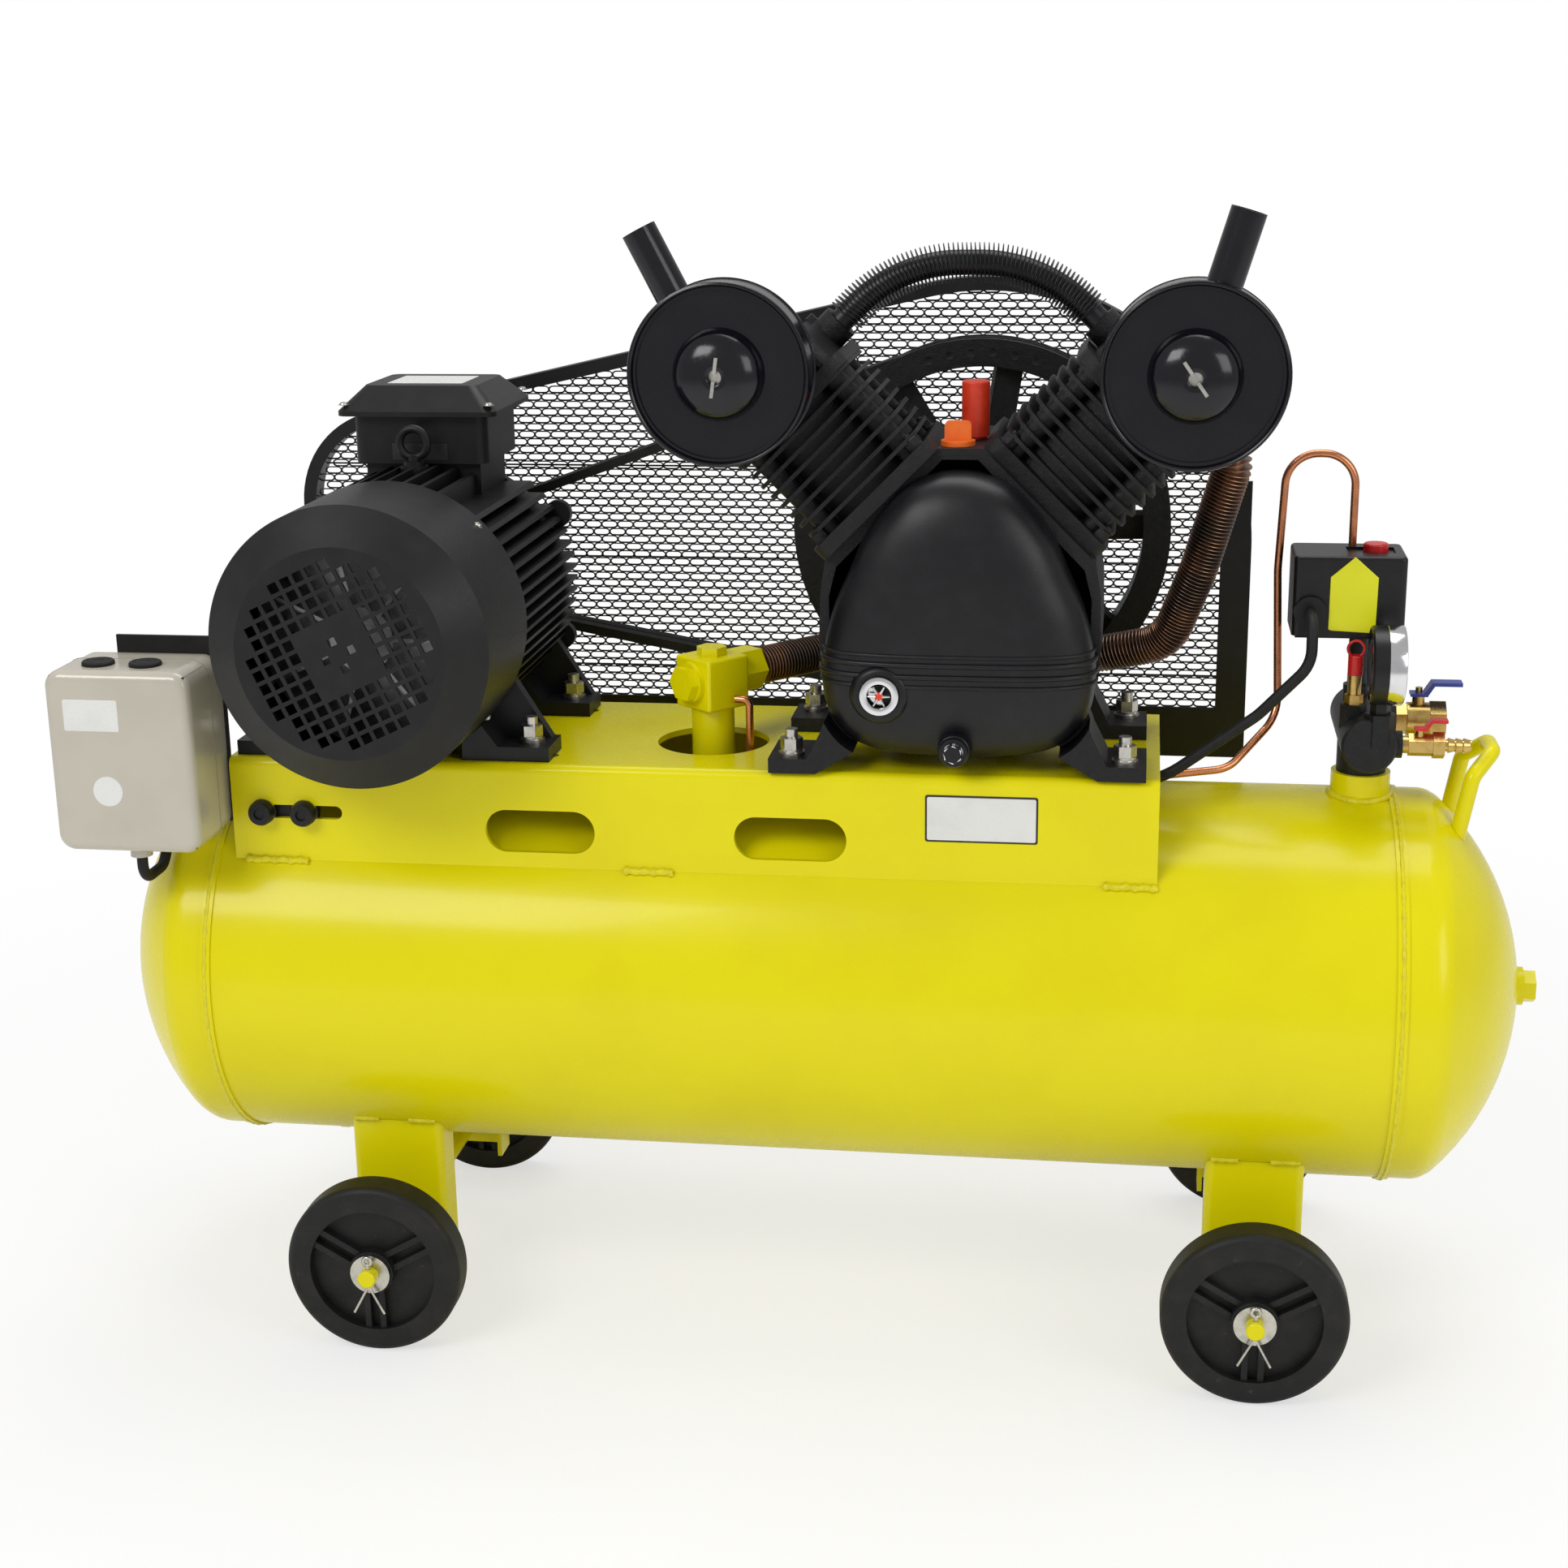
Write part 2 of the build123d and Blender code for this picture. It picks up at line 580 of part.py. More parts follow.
def head(side):
    body = extrude(bore_plane(side, BARREL_TOP) * RectangleRounded(122.0, 122.0, 18.0), amount=10.0)
    body += extrude(bore_plane(side, BARREL_TOP + 9.0) * RectangleRounded(104.0, 104.0, 16.0),
            amount=HEAD_H - 15.0)
    for k in range(7):
        off = -45.0 + 15.0 * k
        fin = bore_plane(side, BARREL_TOP + 10.0) * Pos(0, off) * Rectangle(118.0, 4.0)
        body += extrude(fin, amount=HEAD_H - 10.0)
    front = CYL_Y[side] - 60.0
    port = bore_point(side, FILTER_U - 34.0, FILTER_V * -0.5, 0.0)
    body += rod(15.0, (port[0], front - 2.0, port[2]), (port[0], CYL_Y[side], port[2]))
    neck_u = BARREL_TOP + 26.0
    a = bore_point(side, neck_u, 40.0, 0.0)
    b = bore_point(side, neck_u, 66.0, 0.0)
    body += rod(15.0, a, b)
    if side == "right":
        c = bore_point(side, neck_u, -40.0, 0.0)
        d = bore_point(side, neck_u, -66.0, 0.0)
        body += rod(15.0, c, d)
    pocket = bore_plane(side, BARREL_TOP - 1.0) * Circle(BORE_R - 8.0)
    body -= extrude(pocket, amount=24.0)
    return only(body)


def piston_height():
    """Distance from crank axis to piston pin in the rest pose, with the throw upright."""
    across = THROW * math.sqrt(0.5)
    return across + math.sqrt(ROD_LEN ** 2 - across ** 2)


def piston(side):
    pin = piston_height()
    body = extrude(bore_plane(side, pin - 26.0) * Circle(BORE_R - PISTON_FIT), amount=48.0)
    body -= extrude(bore_plane(side, pin - 27.0) * Circle(BORE_R - 7.0), amount=44.0)
    y = CYL_Y[side]
    p = bore_point(side, pin, 0.0, y)
    body += rod(10.0, (p[0], y - 40.0, p[2]), (p[0], y + 40.0, p[2]))
    for s in (-1, 1):
        body += rod(15.0, (p[0], y + s * 14.0, p[2]), (p[0], y + s * 40.0, p[2]))
    keep = extrude(bore_plane(side, pin - 26.0) * Circle(BORE_R - PISTON_FIT), amount=48.0)
    return only(body & keep)


def con_rod(side):
    pin = piston_height()
    y = CYL_Y[side]
    top = bore_point(side, pin, 0.0, y)
    low = (PUMP_X, y, CRANK_Z + THROW)
    h = ROD_W / 2.0
    body = rod(15.5, (top[0], y - h, top[2]), (top[0], y + h, top[2]))
    body += rod(25.0, (low[0], y - h, low[2]), (low[0], y + h, low[2]))
    shank = rod(9.0, top, low)
    body += shank
    body -= rod(10.0 + RUN_FIT, (top[0], y - 30, top[2]), (top[0], y + 30, top[2]))
    body -= rod(PIN_R + RUN_FIT, (low[0], y - 30, low[2]), (low[0], y + 30, low[2]))
    return only(body)


def crankshaft():
    web_end = WEB_Y0 + WEB_T
    body = rod(SHAFT_R, (PUMP_X, web_end - 1, CRANK_Z), (PUMP_X, DRIVE_Y + FLY_W / 2 + 6.0, CRANK_Z))
    web = rod(24.0, (PUMP_X, WEB_Y0, CRANK_Z + THROW), (PUMP_X, web_end, CRANK_Z + THROW))
    web += rod(56.0, (PUMP_X, WEB_Y0, CRANK_Z), (PUMP_X, web_end, CRANK_Z)) & block(
        (PUMP_X - 60, PUMP_X + 60), (WEB_Y0 - 1, web_end + 1), (CRANK_Z - 60, CRANK_Z - 6.0))
    web += block((PUMP_X - 24, PUMP_X + 24), (WEB_Y0, web_end), (CRANK_Z - 20, CRANK_Z + THROW))
    body += web
    body += rod(PIN_R, (PUMP_X, WEB_Y0 - PIN_LEN, CRANK_Z + THROW), (PUMP_X, WEB_Y0, CRANK_Z + THROW))
    return only(body)


# ================================================================= belt drive
def groove_ring(r, x, z, y):
    """Ring removed from a pulley of outer radius r for one belt centred on y."""
    floor = r - BELT_SINK - BELT_H - GROOVE_FLOOR
    w = BELT_W / 2.0 + GROOVE_SIDE
    return ring(r + 2.0, floor, (x, y - w, z), (x, y + w, z))


def belt_ys():
    return (DRIVE_Y - BELT_PITCH / 2.0, DRIVE_Y + BELT_PITCH / 2.0)


def flywheel():
    y0 = DRIVE_Y - FLY_W / 2.0
    y1 = DRIVE_Y + FLY_W / 2.0
    body = ring(FLY_R, FLY_R - FLY_RIM, (PUMP_X, y0, CRANK_Z), (PUMP_X, y1, CRANK_Z))
    body += rod(HUB_FLY_R, (PUMP_X, y0 + 2.0, CRANK_Z), (PUMP_X, y1, CRANK_Z))
    for k in range(SPOKES):
        a = SPOKE_PHASE + 360.0 / SPOKES * k
        arm = Pos(PUMP_X, DRIVE_Y, CRANK_Z) * Rot(0, -a, 0)
        mid = (HUB_FLY_R + FLY_R - FLY_RIM) / 2.0
        span = FLY_R - FLY_RIM - HUB_FLY_R + 6.0
        body += arm * Pos(mid, 0, 0) * Rot(18, 0, 0) * Box(span, 10.0, 24.0)
    for y in belt_ys():
        body -= groove_ring(FLY_R, PUMP_X, CRANK_Z, y)
    body -= rod(SHAFT_R, (PUMP_X, y0 - 10, CRANK_Z), (PUMP_X, y1 + 10, CRANK_Z))
    return only(body)


def motor_pulley():
    y0 = DRIVE_Y - PULLEY_W / 2.0
    y1 = DRIVE_Y + PULLEY_W / 2.0
    body = rod(PULLEY_R, (MOTOR_X, y0, MOTOR_Z), (MOTOR_X, y1, MOTOR_Z))
    for y in belt_ys():
        body -= groove_ring(PULLEY_R, MOTOR_X, MOTOR_Z, y)
    body -= rod(MOTOR_SHAFT_R, (MOTOR_X, y0 - 10, MOTOR_Z), (MOTOR_X, y1 + 10, MOTOR_Z))
    return only(body)


def loop_outline(shrink, y):
    """Belt line wrapped round both pulleys, `shrink` inside their outer radii."""
    big = FLY_R - shrink
    small = PULLEY_R - shrink
    dx = PUMP_X - MOTOR_X
    dz = CRANK_Z - MOTOR_Z
    dist = math.hypot(dx, dz)
    tilt = math.atan2(dz, dx)
    wrap = math.acos((big - small) / dist)
    c_big = (PUMP_X, CRANK_Z)
    c_small = (MOTOR_X, MOTOR_Z)

    def at(centre, r, ang):
        return (centre[0] + r * math.cos(ang), y, centre[1] + r * math.sin(ang))

    up = tilt + math.pi - wrap
    dn = tilt - math.pi + wrap
    big_up = at(c_big, big, up)
    big_dn = at(c_big, big, dn)
    small_up = at(c_small, small, up)
    small_dn = at(c_small, small, dn)
    right = ThreePointArc(big_up, at(c_big, big, tilt), big_dn)
    left = ThreePointArc(small_dn, at(c_small, small, tilt + math.pi), small_up)
    top = Line(small_up, big_up)
    low = Line(big_dn, small_dn)
    return make_face(Wire([top, right, low, left]))


def drive_belts():
    out = []
    for y in belt_ys():
        y0 = y - BELT_W / 2.0
        outer = extrude(loop_outline(BELT_SINK, y0), amount=BELT_W, dir=(0, 1, 0))
        inner = extrude(loop_outline(BELT_SINK + BELT_H, y0), amount=BELT_W, dir=(0, 1, 0))
        out.append(only(outer - inner))
    return Compound(out)


# ================================================================= motor group
def motor_frame():
    axis = ((MOTOR_X, FRAME_Y0, MOTOR_Z), (MOTOR_X, FRAME_Y1, MOTOR_Z))
    frame = rod(FRAME_R, *axis)
    round_bar = rod(FRAME_FIN_R, (MOTOR_X, COVER_Y1 + 1.0, MOTOR_Z), (MOTOR_X, FRAME_Y1, MOTOR_Z))
    slabs = []
    for k in range(FRAME_FINS):
        off = (k - (FRAME_FINS - 1) / 2.0) * FRAME_FIN_PITCH
        slabs.append(block((MOTOR_X - 120, MOTOR_X + 120), (FRAME_Y0, FRAME_Y1),
                           (MOTOR_Z + off - FRAME_FIN_T / 2, MOTOR_Z + off + FRAME_FIN_T / 2)))
    for k in range(7):
        off = (k - 3) * FRAME_FIN_PITCH * 1.4
        slabs.append(block((MOTOR_X + off - FRAME_FIN_T / 2, MOTOR_X + off + FRAME_FIN_T / 2),
                           (FRAME_Y0, FRAME_Y1), (MOTOR_Z - 120, MOTOR_Z + 120)))
    fins = [s & round_bar for s in slabs]
    frame = frame.fuse(*fins)
    feet = []
    for s in (-1, 1):
        for y in MOTOR_FOOT_Y:
            pad = block((MOTOR_X + s * MOTOR_FOOT_OUT - (s > 0) * 46,
                    MOTOR_X + s * MOTOR_FOOT_OUT + (s < 0) * 46),
                        (y - 22, y + 22), (PLATE_TOP, PLATE_TOP + 12))
            web = [(s * 66.0, -60.0), (s * 90.0, -40.0), (s * 128.0, 12.0 - MOTOR_RISE),
                   (s * 60.0, 12.0 - MOTOR_RISE)]
            web = [(MOTOR_X + a, MOTOR_Z + b) for a, b in web]
            low = [(s * 60.0, -MOTOR_RISE), (s * 60.0, -60.0), (s * 90.0, 12.0 - MOTOR_RISE),
                   (s * 90.0, -MOTOR_RISE)]
            low = [(MOTOR_X + a, MOTOR_Z + b) for a, b in low]
            foot = pad + xz_prism(web, y + 11, y + 22) + xz_prism(low, y - 22, y + 22)
            foot -= rod(5.5, (MOTOR_X + s * MOTOR_FOOT_X, y, PLATE_TOP - 5),
                        (MOTOR_X + s * MOTOR_FOOT_X, y, PLATE_TOP + 40))
            foot -= rod(COVER_R + 0.8, (MOTOR_X, COVER_Y0, MOTOR_Z), (MOTOR_X, COVER_Y1 + 1.0, MOTOR_Z))
            feet.append(foot)
    for foot in feet:
        frame += foot
    seat = block((MOTOR_X - 50, MOTOR_X + 50), (BOX_Y0 + 8, FRAME_Y1), (MOTOR_Z + 80, MOTOR_Z + 112))
    frame += seat
    eye_boss = rod(12.0, (MOTOR_X, 0.0, MOTOR_Z + 80), (MOTOR_X, 0.0, MOTOR_Z + 113))
    frame += eye_boss
    frame -= rod(FRAME_R - FRAME_WALL, (MOTOR_X, FRAME_Y0 - 5, MOTOR_Z), (MOTOR_X, FRAME_Y1 + 5, MOTOR_Z))
    frame = only(frame)
    stator = only(ring(FRAME_R - FRAME_WALL, 53.0, (MOTOR_X, -55, MOTOR_Z), (MOTOR_X, 65, MOTOR_Z)))
    drive_end = rod(FRAME_R + 6, (MOTOR_X, FRAME_Y1, MOTOR_Z), (MOTOR_X, FRAME_Y1 + 9, MOTOR_Z))
    drive_end += rod(32.0, (MOTOR_X, FRAME_Y1 - 12, MOTOR_Z), (MOTOR_X, FRAME_Y1 + 18, MOTOR_Z))
    for a in (30.0, 150.0, 210.0, 330.0):
        ex = MOTOR_X + 110.0 * math.cos(math.radians(a))
        ez = MOTOR_Z + 110.0 * math.sin(math.radians(a))
        drive_end += rod(12.0, (ex, FRAME_Y1, ez), (ex, FRAME_Y1 + 9, ez))
    drive_end -= rod(MOTOR_SHAFT_R + 0.06, (MOTOR_X, 0, MOTOR_Z), (MOTOR_X, 140, MOTOR_Z))
    fan_end = rod(COVER_R - SHEET - COVER_FIT, (MOTOR_X, FRAME_Y0 - 8, MOTOR_Z), (MOTOR_X, FRAME_Y0,
            MOTOR_Z))
    fan_end += rod(30.0, (MOTOR_X, FRAME_Y0 - 14, MOTOR_Z), (MOTOR_X, FRAME_Y0 + 14, MOTOR_Z))
    fan_end -= rod(MOTOR_SHAFT_R + 0.06, (MOTOR_X, -140, MOTOR_Z), (MOTOR_X, 0, MOTOR_Z))
    eye = rod(5.0, (MOTOR_X, 0.0, MOTOR_Z + 113), (MOTOR_X, 0.0, MOTOR_Z + 122))
    eye += rod(9.0, (MOTOR_X, 0.0, MOTOR_Z + 113), (MOTOR_X, 0.0, MOTOR_Z + 117))
    eye += Pos(MOTOR_X, 0.0, MOTOR_Z + 132) * Rot(90, 0, 0) * Torus(12.0, 3.6)
    return Compound([frame, stator, only(drive_end), only(fan_end), only(eye)])


def fan_cover():
    r = COVER_R
    y0 = COVER_Y0
    outer = rod(r, (MOTOR_X, y0, MOTOR_Z), (MOTOR_X, COVER_Y1, MOTOR_Z))
    nose = Pos(MOTOR_X, y0 - COVER_NOSE / 2, MOTOR_Z) * Rot(90, 0, 0) * Cone(r, GRILLE_R, COVER_NOSE)
    inner = rod(r - SHEET, (MOTOR_X, y0, MOTOR_Z), (MOTOR_X, COVER_Y1 + 1, MOTOR_Z))
    inner_nose = Pos(MOTOR_X, y0 - COVER_NOSE / 2 + SHEET, MOTOR_Z) * Rot(90, 0, 0) * Cone(
        r - SHEET, GRILLE_R - SHEET, COVER_NOSE)
    body = outer + nose - inner - inner_nose
    front = y0 - COVER_NOSE
    cuts = []
    for i in range(-GRILLE_CELLS, GRILLE_CELLS + 1):
        for j in range(-GRILLE_CELLS, GRILLE_CELLS + 1):
            far = math.hypot(abs(i) + 0.5, abs(j) + 0.5) * GRILLE_PITCH
            near = max(abs(i), abs(j))
            hub = near <= 2 and abs(i) + abs(j) != 1
            if far < GRILLE_R - 2.0 and not hub:
                cell = GRILLE_HOLE if near > 2 else GRILLE_HOLE * 0.8
                sq = Pos(MOTOR_X, front, MOTOR_Z) * Rot(0, -GRILLE_TILT, 0)
                cuts.append(sq * Pos(i * GRILLE_PITCH, 0, j * GRILLE_PITCH) * Box(cell, 12.0, cell))
    body = body.cut(*cuts)
    return only(body)


def terminal_box():
    low = MOTOR_Z + 112.0
    box = block((MOTOR_X - BOX_HALF, MOTOR_X + BOX_HALF), (BOX_Y0, BOX_Y1), (low, BOX_TOP))
    box = fillet(box.edges().filter_by(Axis.Z), 10.0)
    hollow = block((MOTOR_X - BOX_HALF + 4, MOTOR_X + BOX_HALF - 4), (BOX_Y0 + 4, BOX_Y1 - 4), (low + 4,
            BOX_TOP + 1))
    box -= hollow
    lap = LID_LAP
    wide = 2.0 * (BOX_HALF + lap)
    deep = BOX_Y1 - BOX_Y0 + 2.0 * lap
    mid = Pos(MOTOR_X, (BOX_Y0 + BOX_Y1) / 2.0, BOX_TOP)
    lid = extrude(mid * RectangleRounded(wide, deep, 10.0), amount=LID_EDGE)
    slope = 2.0 * (LID_H - LID_EDGE)
    crown = Sketch() + [mid * Pos(0, 0, LID_EDGE) * RectangleRounded(wide, deep, 10.0),
                        mid * Pos(0, 0, LID_H) * RectangleRounded(wide - slope, deep - slope, 8.0)]
    lid += loft(crown)
    lid -= block((MOTOR_X - BOX_HALF + 20, MOTOR_X + BOX_HALF - 20), (BOX_Y0 + 20, BOX_Y1 - 20),
                 (BOX_TOP - 1, BOX_TOP + LID_H - 4))
    return Compound([only(box), only(lid)])


def motor_rotor():
    body = rod(MOTOR_SHAFT_R, (MOTOR_X, -168, MOTOR_Z), (MOTOR_X, DRIVE_Y + PULLEY_W / 2 + 4, MOTOR_Z))
    body += rod(52.5, (MOTOR_X, -55, MOTOR_Z), (MOTOR_X, 65, MOTOR_Z))
    fan = rod(26.0, (MOTOR_X, -166, MOTOR_Z), (MOTOR_X, -120, MOTOR_Z))
    fan += rod(100.0, (MOTOR_X, -124, MOTOR_Z), (MOTOR_X, -120, MOTOR_Z))
    for k in range(7):
        blade = Pos(MOTOR_X, 0, MOTOR_Z) * Rot(0, 360.0 / 7 * k, 0) * Pos(62.0, -145.0, 0) * Box(76.0,
                44.0, 3.0)
        fan += blade
    return only(body + fan)


# ================================================================= guard
def guard_outline(shrink, y):
    """Closed face of the guard side view, moved inwards by `shrink`."""
    r = GUARD_ARC_R - shrink
    tilt = math.radians(GUARD_SLOPE)
    cx = PUMP_X
    cz = GUARD_ARC_Z
    touch = (cx - r * math.sin(tilt), cz + r * math.cos(tilt))
    left = GUARD_LEFT + shrink
    low = GUARD_BOTTOM + shrink
    corner_z = touch[1] - (touch[0] - left) * math.tan(tilt)
    nose = GUARD_NOSE_R - shrink
    t = nose * math.tan((math.pi / 2 - tilt) / 2)
    p_up = (left + t * math.cos(tilt), corner_z + t * math.sin(tilt))
    p_dn = (left, corner_z - t)
    bis = math.radians(180 - (90 - GUARD_SLOPE) / 2.0)
    centre = (left + nose, corner_z - t)
    mid = (centre[0] + nose * math.cos(bis), centre[1] + nose * math.sin(bis))
    a = math.radians(45.0)
    arc_mid = (cx + r * math.cos(a), cz + r * math.sin(a))

    def q(p):
        return (p[0], y, p[1])

    edges = [Line(q((left, low)), q(p_dn)), ThreePointArc(q(p_dn), q(mid), q(p_up)), Line(q(p_up),
            q(touch)),
             ThreePointArc(q(touch), q(arc_mid), q((cx + r, cz))), Line(q((cx + r, cz)), q((cx + r, low))),
             Line(q((cx + r, low)), q((left, low)))]
    return make_face(Wire(edges))


def guard_frame():
    depth = GUARD_Y1 - GUARD_Y0
    outer = extrude(guard_outline(0.0, GUARD_Y0), amount=depth, dir=(0, 1, 0))
    inner = extrude(guard_outline(GUARD_BAND, GUARD_Y0 - 1), amount=depth + 2, dir=(0, 1, 0))
    body = outer - inner
    right = PUMP_X + GUARD_ARC_R
    body += block((right - 27.0, right - 1.0), (GUARD_Y0, GUARD_Y0 + 3.0), (GUARD_BOTTOM,
            GUARD_ARC_Z + 60.0))
    body += block((GUARD_LEFT + 1.0, right - 1.0), (GUARD_Y0, GUARD_Y0 + 3.0), (GUARD_BOTTOM,
            GUARD_BOTTOM + 46.0))
    for x in (-300.0, 250.0):
        body += block((x - 20, x + 20), (PLATE_BACK, GUARD_Y0 + 1.0), (GUARD_BOTTOM + 6.0,
                GUARD_BOTTOM + 10.0))
        body += block((x - 20, x + 20), (PLATE_BACK, PLATE_BACK + 4.0), (GUARD_BOTTOM + 6.0,
                GUARD_BOTTOM + 40.0))
    return only(body)


def guard_mesh():
    """Expanded-metal panel, built as a thin sheet inside the frame."""
    y = GUARD_Y0 + 3.0
    panel = extrude(guard_outline(GUARD_BAND, y), amount=MESH_T, dir=(0, 1, 0))
    return only(panel)


# ================================================================= filters
def filter_centre(side):
    d = CYL_DIR[side]
    k = math.sqrt(0.5)
    u = FILTER_U
    v = -FILTER_V
    return (PUMP_X + d * k * (u - v), CRANK_Z + k * (u + v))


def air_filter(side):
    cx, cz = filter_centre(side)
    back = FILTER_FRONT + FILTER_DEPTH
    body = rod(FILTER_R, (cx, FILTER_FRONT + 3.0, cz), (cx, back, cz))
    body = fillet(body.edges().group_by(Axis.Y)[-1], 8.0)
    body = fillet(body.edges().group_by(Axis.Y)[0], 2.0)
    body -= rod(FILTER_R - 6.0, (cx, FILTER_FRONT, cz), (cx, FILTER_FRONT + 5.5, cz))
    body += rod(34.0, (cx, FILTER_FRONT + 2.0, cz), (cx, FILTER_FRONT + 8.0, cz))
    body += rod(5.0, (cx, FILTER_FRONT - 2.0, cz), (cx, FILTER_FRONT + 8.0, cz))
    body -= ring(56.0, 30.0, (cx, FILTER_FRONT + 10.0, cz), (cx, back - 4.0, cz))
    a = math.radians(90.0 + SILENCER_LEAN[side])
    y = (FILTER_FRONT + back) / 2.0 + 2.0
    sx = cx + SILENCER_SHIFT[side] * math.sin(a)
    sz = cz - SILENCER_SHIFT[side] * math.cos(a)

    def along(r):
        return (sx + r * math.cos(a), y, sz + r * math.sin(a))

    body += rod(SILENCER_R, along(FILTER_R - 12), along(FILTER_R + SILENCER_LEN))
    body -= rod(SILENCER_R - 2.0, along(FILTER_R), along(FILTER_R + SILENCER_LEN + 5))
    front = CYL_Y[side] - 62.0
    port = bore_point(side, FILTER_U - 34.0, FILTER_V * -0.5, 0.0)
    body += rod(13.0, (port[0], back - 1.0, port[2]), (port[0], front, port[2]))
    return only(body)


# ================================================================= fasteners
def bolt_stack(x, y, seat, under, big=1.0):
    """Bolt from below with washer, nut and the free end of the thread."""
    body = rod(BOLT_R, (x, y, seat - under), (x, y, seat + 21.0))
    body += hexbar(16.0, (x, y, seat - under - 6.5), (x, y, seat - under))
    nut = rod(10.5, (x, y, seat), (x, y, seat + 2.5))
    nut += rod(8.8, (x, y, seat + 2.5), (x, y, seat + 5.0))
    nut += hexbar(16.0, (x, y, seat + 5.0), (x, y, seat + 14.0))
    return only(body + nut)


def mount_bolts():
    out = []
    for s in (-1, 1):
        for y in FOOT_BOLT_Y:
            out.append(bolt_stack(PUMP_X + s * FOOT_BOLT_X, y, PLATE_TOP + FOOT_T, FOOT_T + PLATE_T))
        for y in MOTOR_FOOT_Y:
            out.append(bolt_stack(MOTOR_X + s * MOTOR_FOOT_X, y, PLATE_TOP + 12.0, 12.0 + PLATE_T))
    for x in (-442.0, -406.0):
        z = 453.0
        y = PLATE_FRONT
        bolt = rod(BOLT_R, (x, y - 2.5, z), (x, y + PLATE_T + 3.0, z))
        bolt += rod(11.0, (x, y - 2.5, z), (x, y, z))
        bolt += hexbar(16.0, (x, y - 9.0, z), (x, y - 2.5, z))
        bolt += hexbar(16.0, (x, y + PLATE_T + 3.0, z), (x, y + PLATE_T + 11.0, z))
        out.append(only(bolt))
    for side in ("left", "right"):
        cx, cz = filter_centre(side)
        y = FILTER_FRONT - 2.0
        nut = rod(6.0, (cx, y - 7.0, cz), (cx, y, cz))
        tilt = 8.0 if side == "left" else -35.0
        for s in (-1, 1):
            wing = Pos(cx, y - 7.0, cz) * Rot(0, tilt, 0) * Pos(0, -3.5, s * 9.0) * Box(2.6, 8.0, 12.0)
            nut += wing
        nut += Pos(cx, y - 6.0, cz) * Rot(0, tilt, 0) * Box(2.6, 3.0, 24.0)
        out.append(only(nut))
    return Compound(out)


# ================================================================= pipes
def crossover_pipe():
    neck_u = BARREL_TOP + 26.0
    a = bore_point("left", neck_u, 66.0, 0.0)
    d = bore_point("right", neck_u, 66.0, 0.0)
    rise = 46.0
    b = (a[0] + rise, 0.0, a[2] + rise)
    c = (d[0] - rise, 0.0, d[2] + rise)
    fins, length = tube_along([a, b, c, d], 120.0, FINPIPE_R)
    return only(fins), length


def delivery_pipe():
    p0 = bore_point("right", BARREL_TOP + 26.0, -66.0, 0.0)
    vx, vy, vz = VALVE_AT
    dx, dy = valve_aim()
    z = vz + PORT_LIFT
    end = (vx + 46.2 * dx, vy + 46.2 * dy, z)
    turn = (vx + 138.0 * dx, vy + 138.0 * dy, z)
    pts = [p0, (p0[0] + 17.0, 0.0, p0[2] - 17.0), (p0[0] - 8.0, 30.0, 640.0), (300.0, 58.0, 572.0),
           (240.0, turn[1], z), turn, end]
    radii = [14.0, 60.0, 40.0, 50.0, 34.0]
    path = FilletPolyline(*pts, radius=radii)
    start = Plane(origin=path @ 0, z_dir=path % 0)
    pipe = sweep(start * Circle(FINPIPE_R), path=path)
    return only(pipe), path.length


def valve_aim():
    """Unit direction of the check valve's side port in plan."""
    a = math.radians(VALVE_TURN)
    return math.cos(a), math.sin(a)


def check_valve():
    x, y, z = VALVE_AT
    half = VALVE_HALF
    body = Pos(x, y, z + 6.0) * Rot(0, 0, VALVE_TURN) * Box(2 * half, 2 * half, 2 * half)
    body = fillet(body.edges(), 3.0)
    dx, dy = valve_aim()
    top = TANK_AXIS_Z + TANK_R + 18.0
    body += rod(18.0, (x, y, top), (x, y, z - 12.0))
    body += rod(12.9, (x, y, top - 12.0), (x, y, top))
    zc = z + PORT_LIFT
    body += hexbar(26.0, (x - dx * 20, y - dy * 20, zc - 2), (x - dx * 34, y - dy * 34, zc - 2))
    body += rod(17.0, (x - dx * 20, y - dy * 20, zc - 2), (x - dx * 27, y - dy * 27, zc - 2))
    body += hexbar(22.0, (x, y, z + 26.0), (x, y, z + 35.0))
    body += hexbar(34.0, (x + dx * 20, y + dy * 20, zc), (x + dx * 46, y + dy * 46, zc))
    return only(body)


def unloader_tube():
    x, y, z = VALVE_AT
    a = (x + 34.0, y - 18.0, z - 6.0)
    pts = [(a[0] - 12.0, a[1] + 2.0, a[2]), a, (a[0], a[1], 480.0), (290.0, -36.0, 480.0), (352.0, -20.0,
            484.0),
           (392.0, 18.0, 520.0), (388.0, 34.0, 640.0), (392.0, 34.0, 736.0), (447.0, 34.0, 736.0),
           (447.0, 34.0, SWITCH_Z[1] + 0.1)]
    radii = [6.0, 14.0, 30.0, 30.0, 34.0, 60.0, 26.0, 26.0]
    tube, length = tube_along(pts, radii, COPPER_R)
    return only(tube), length, radii


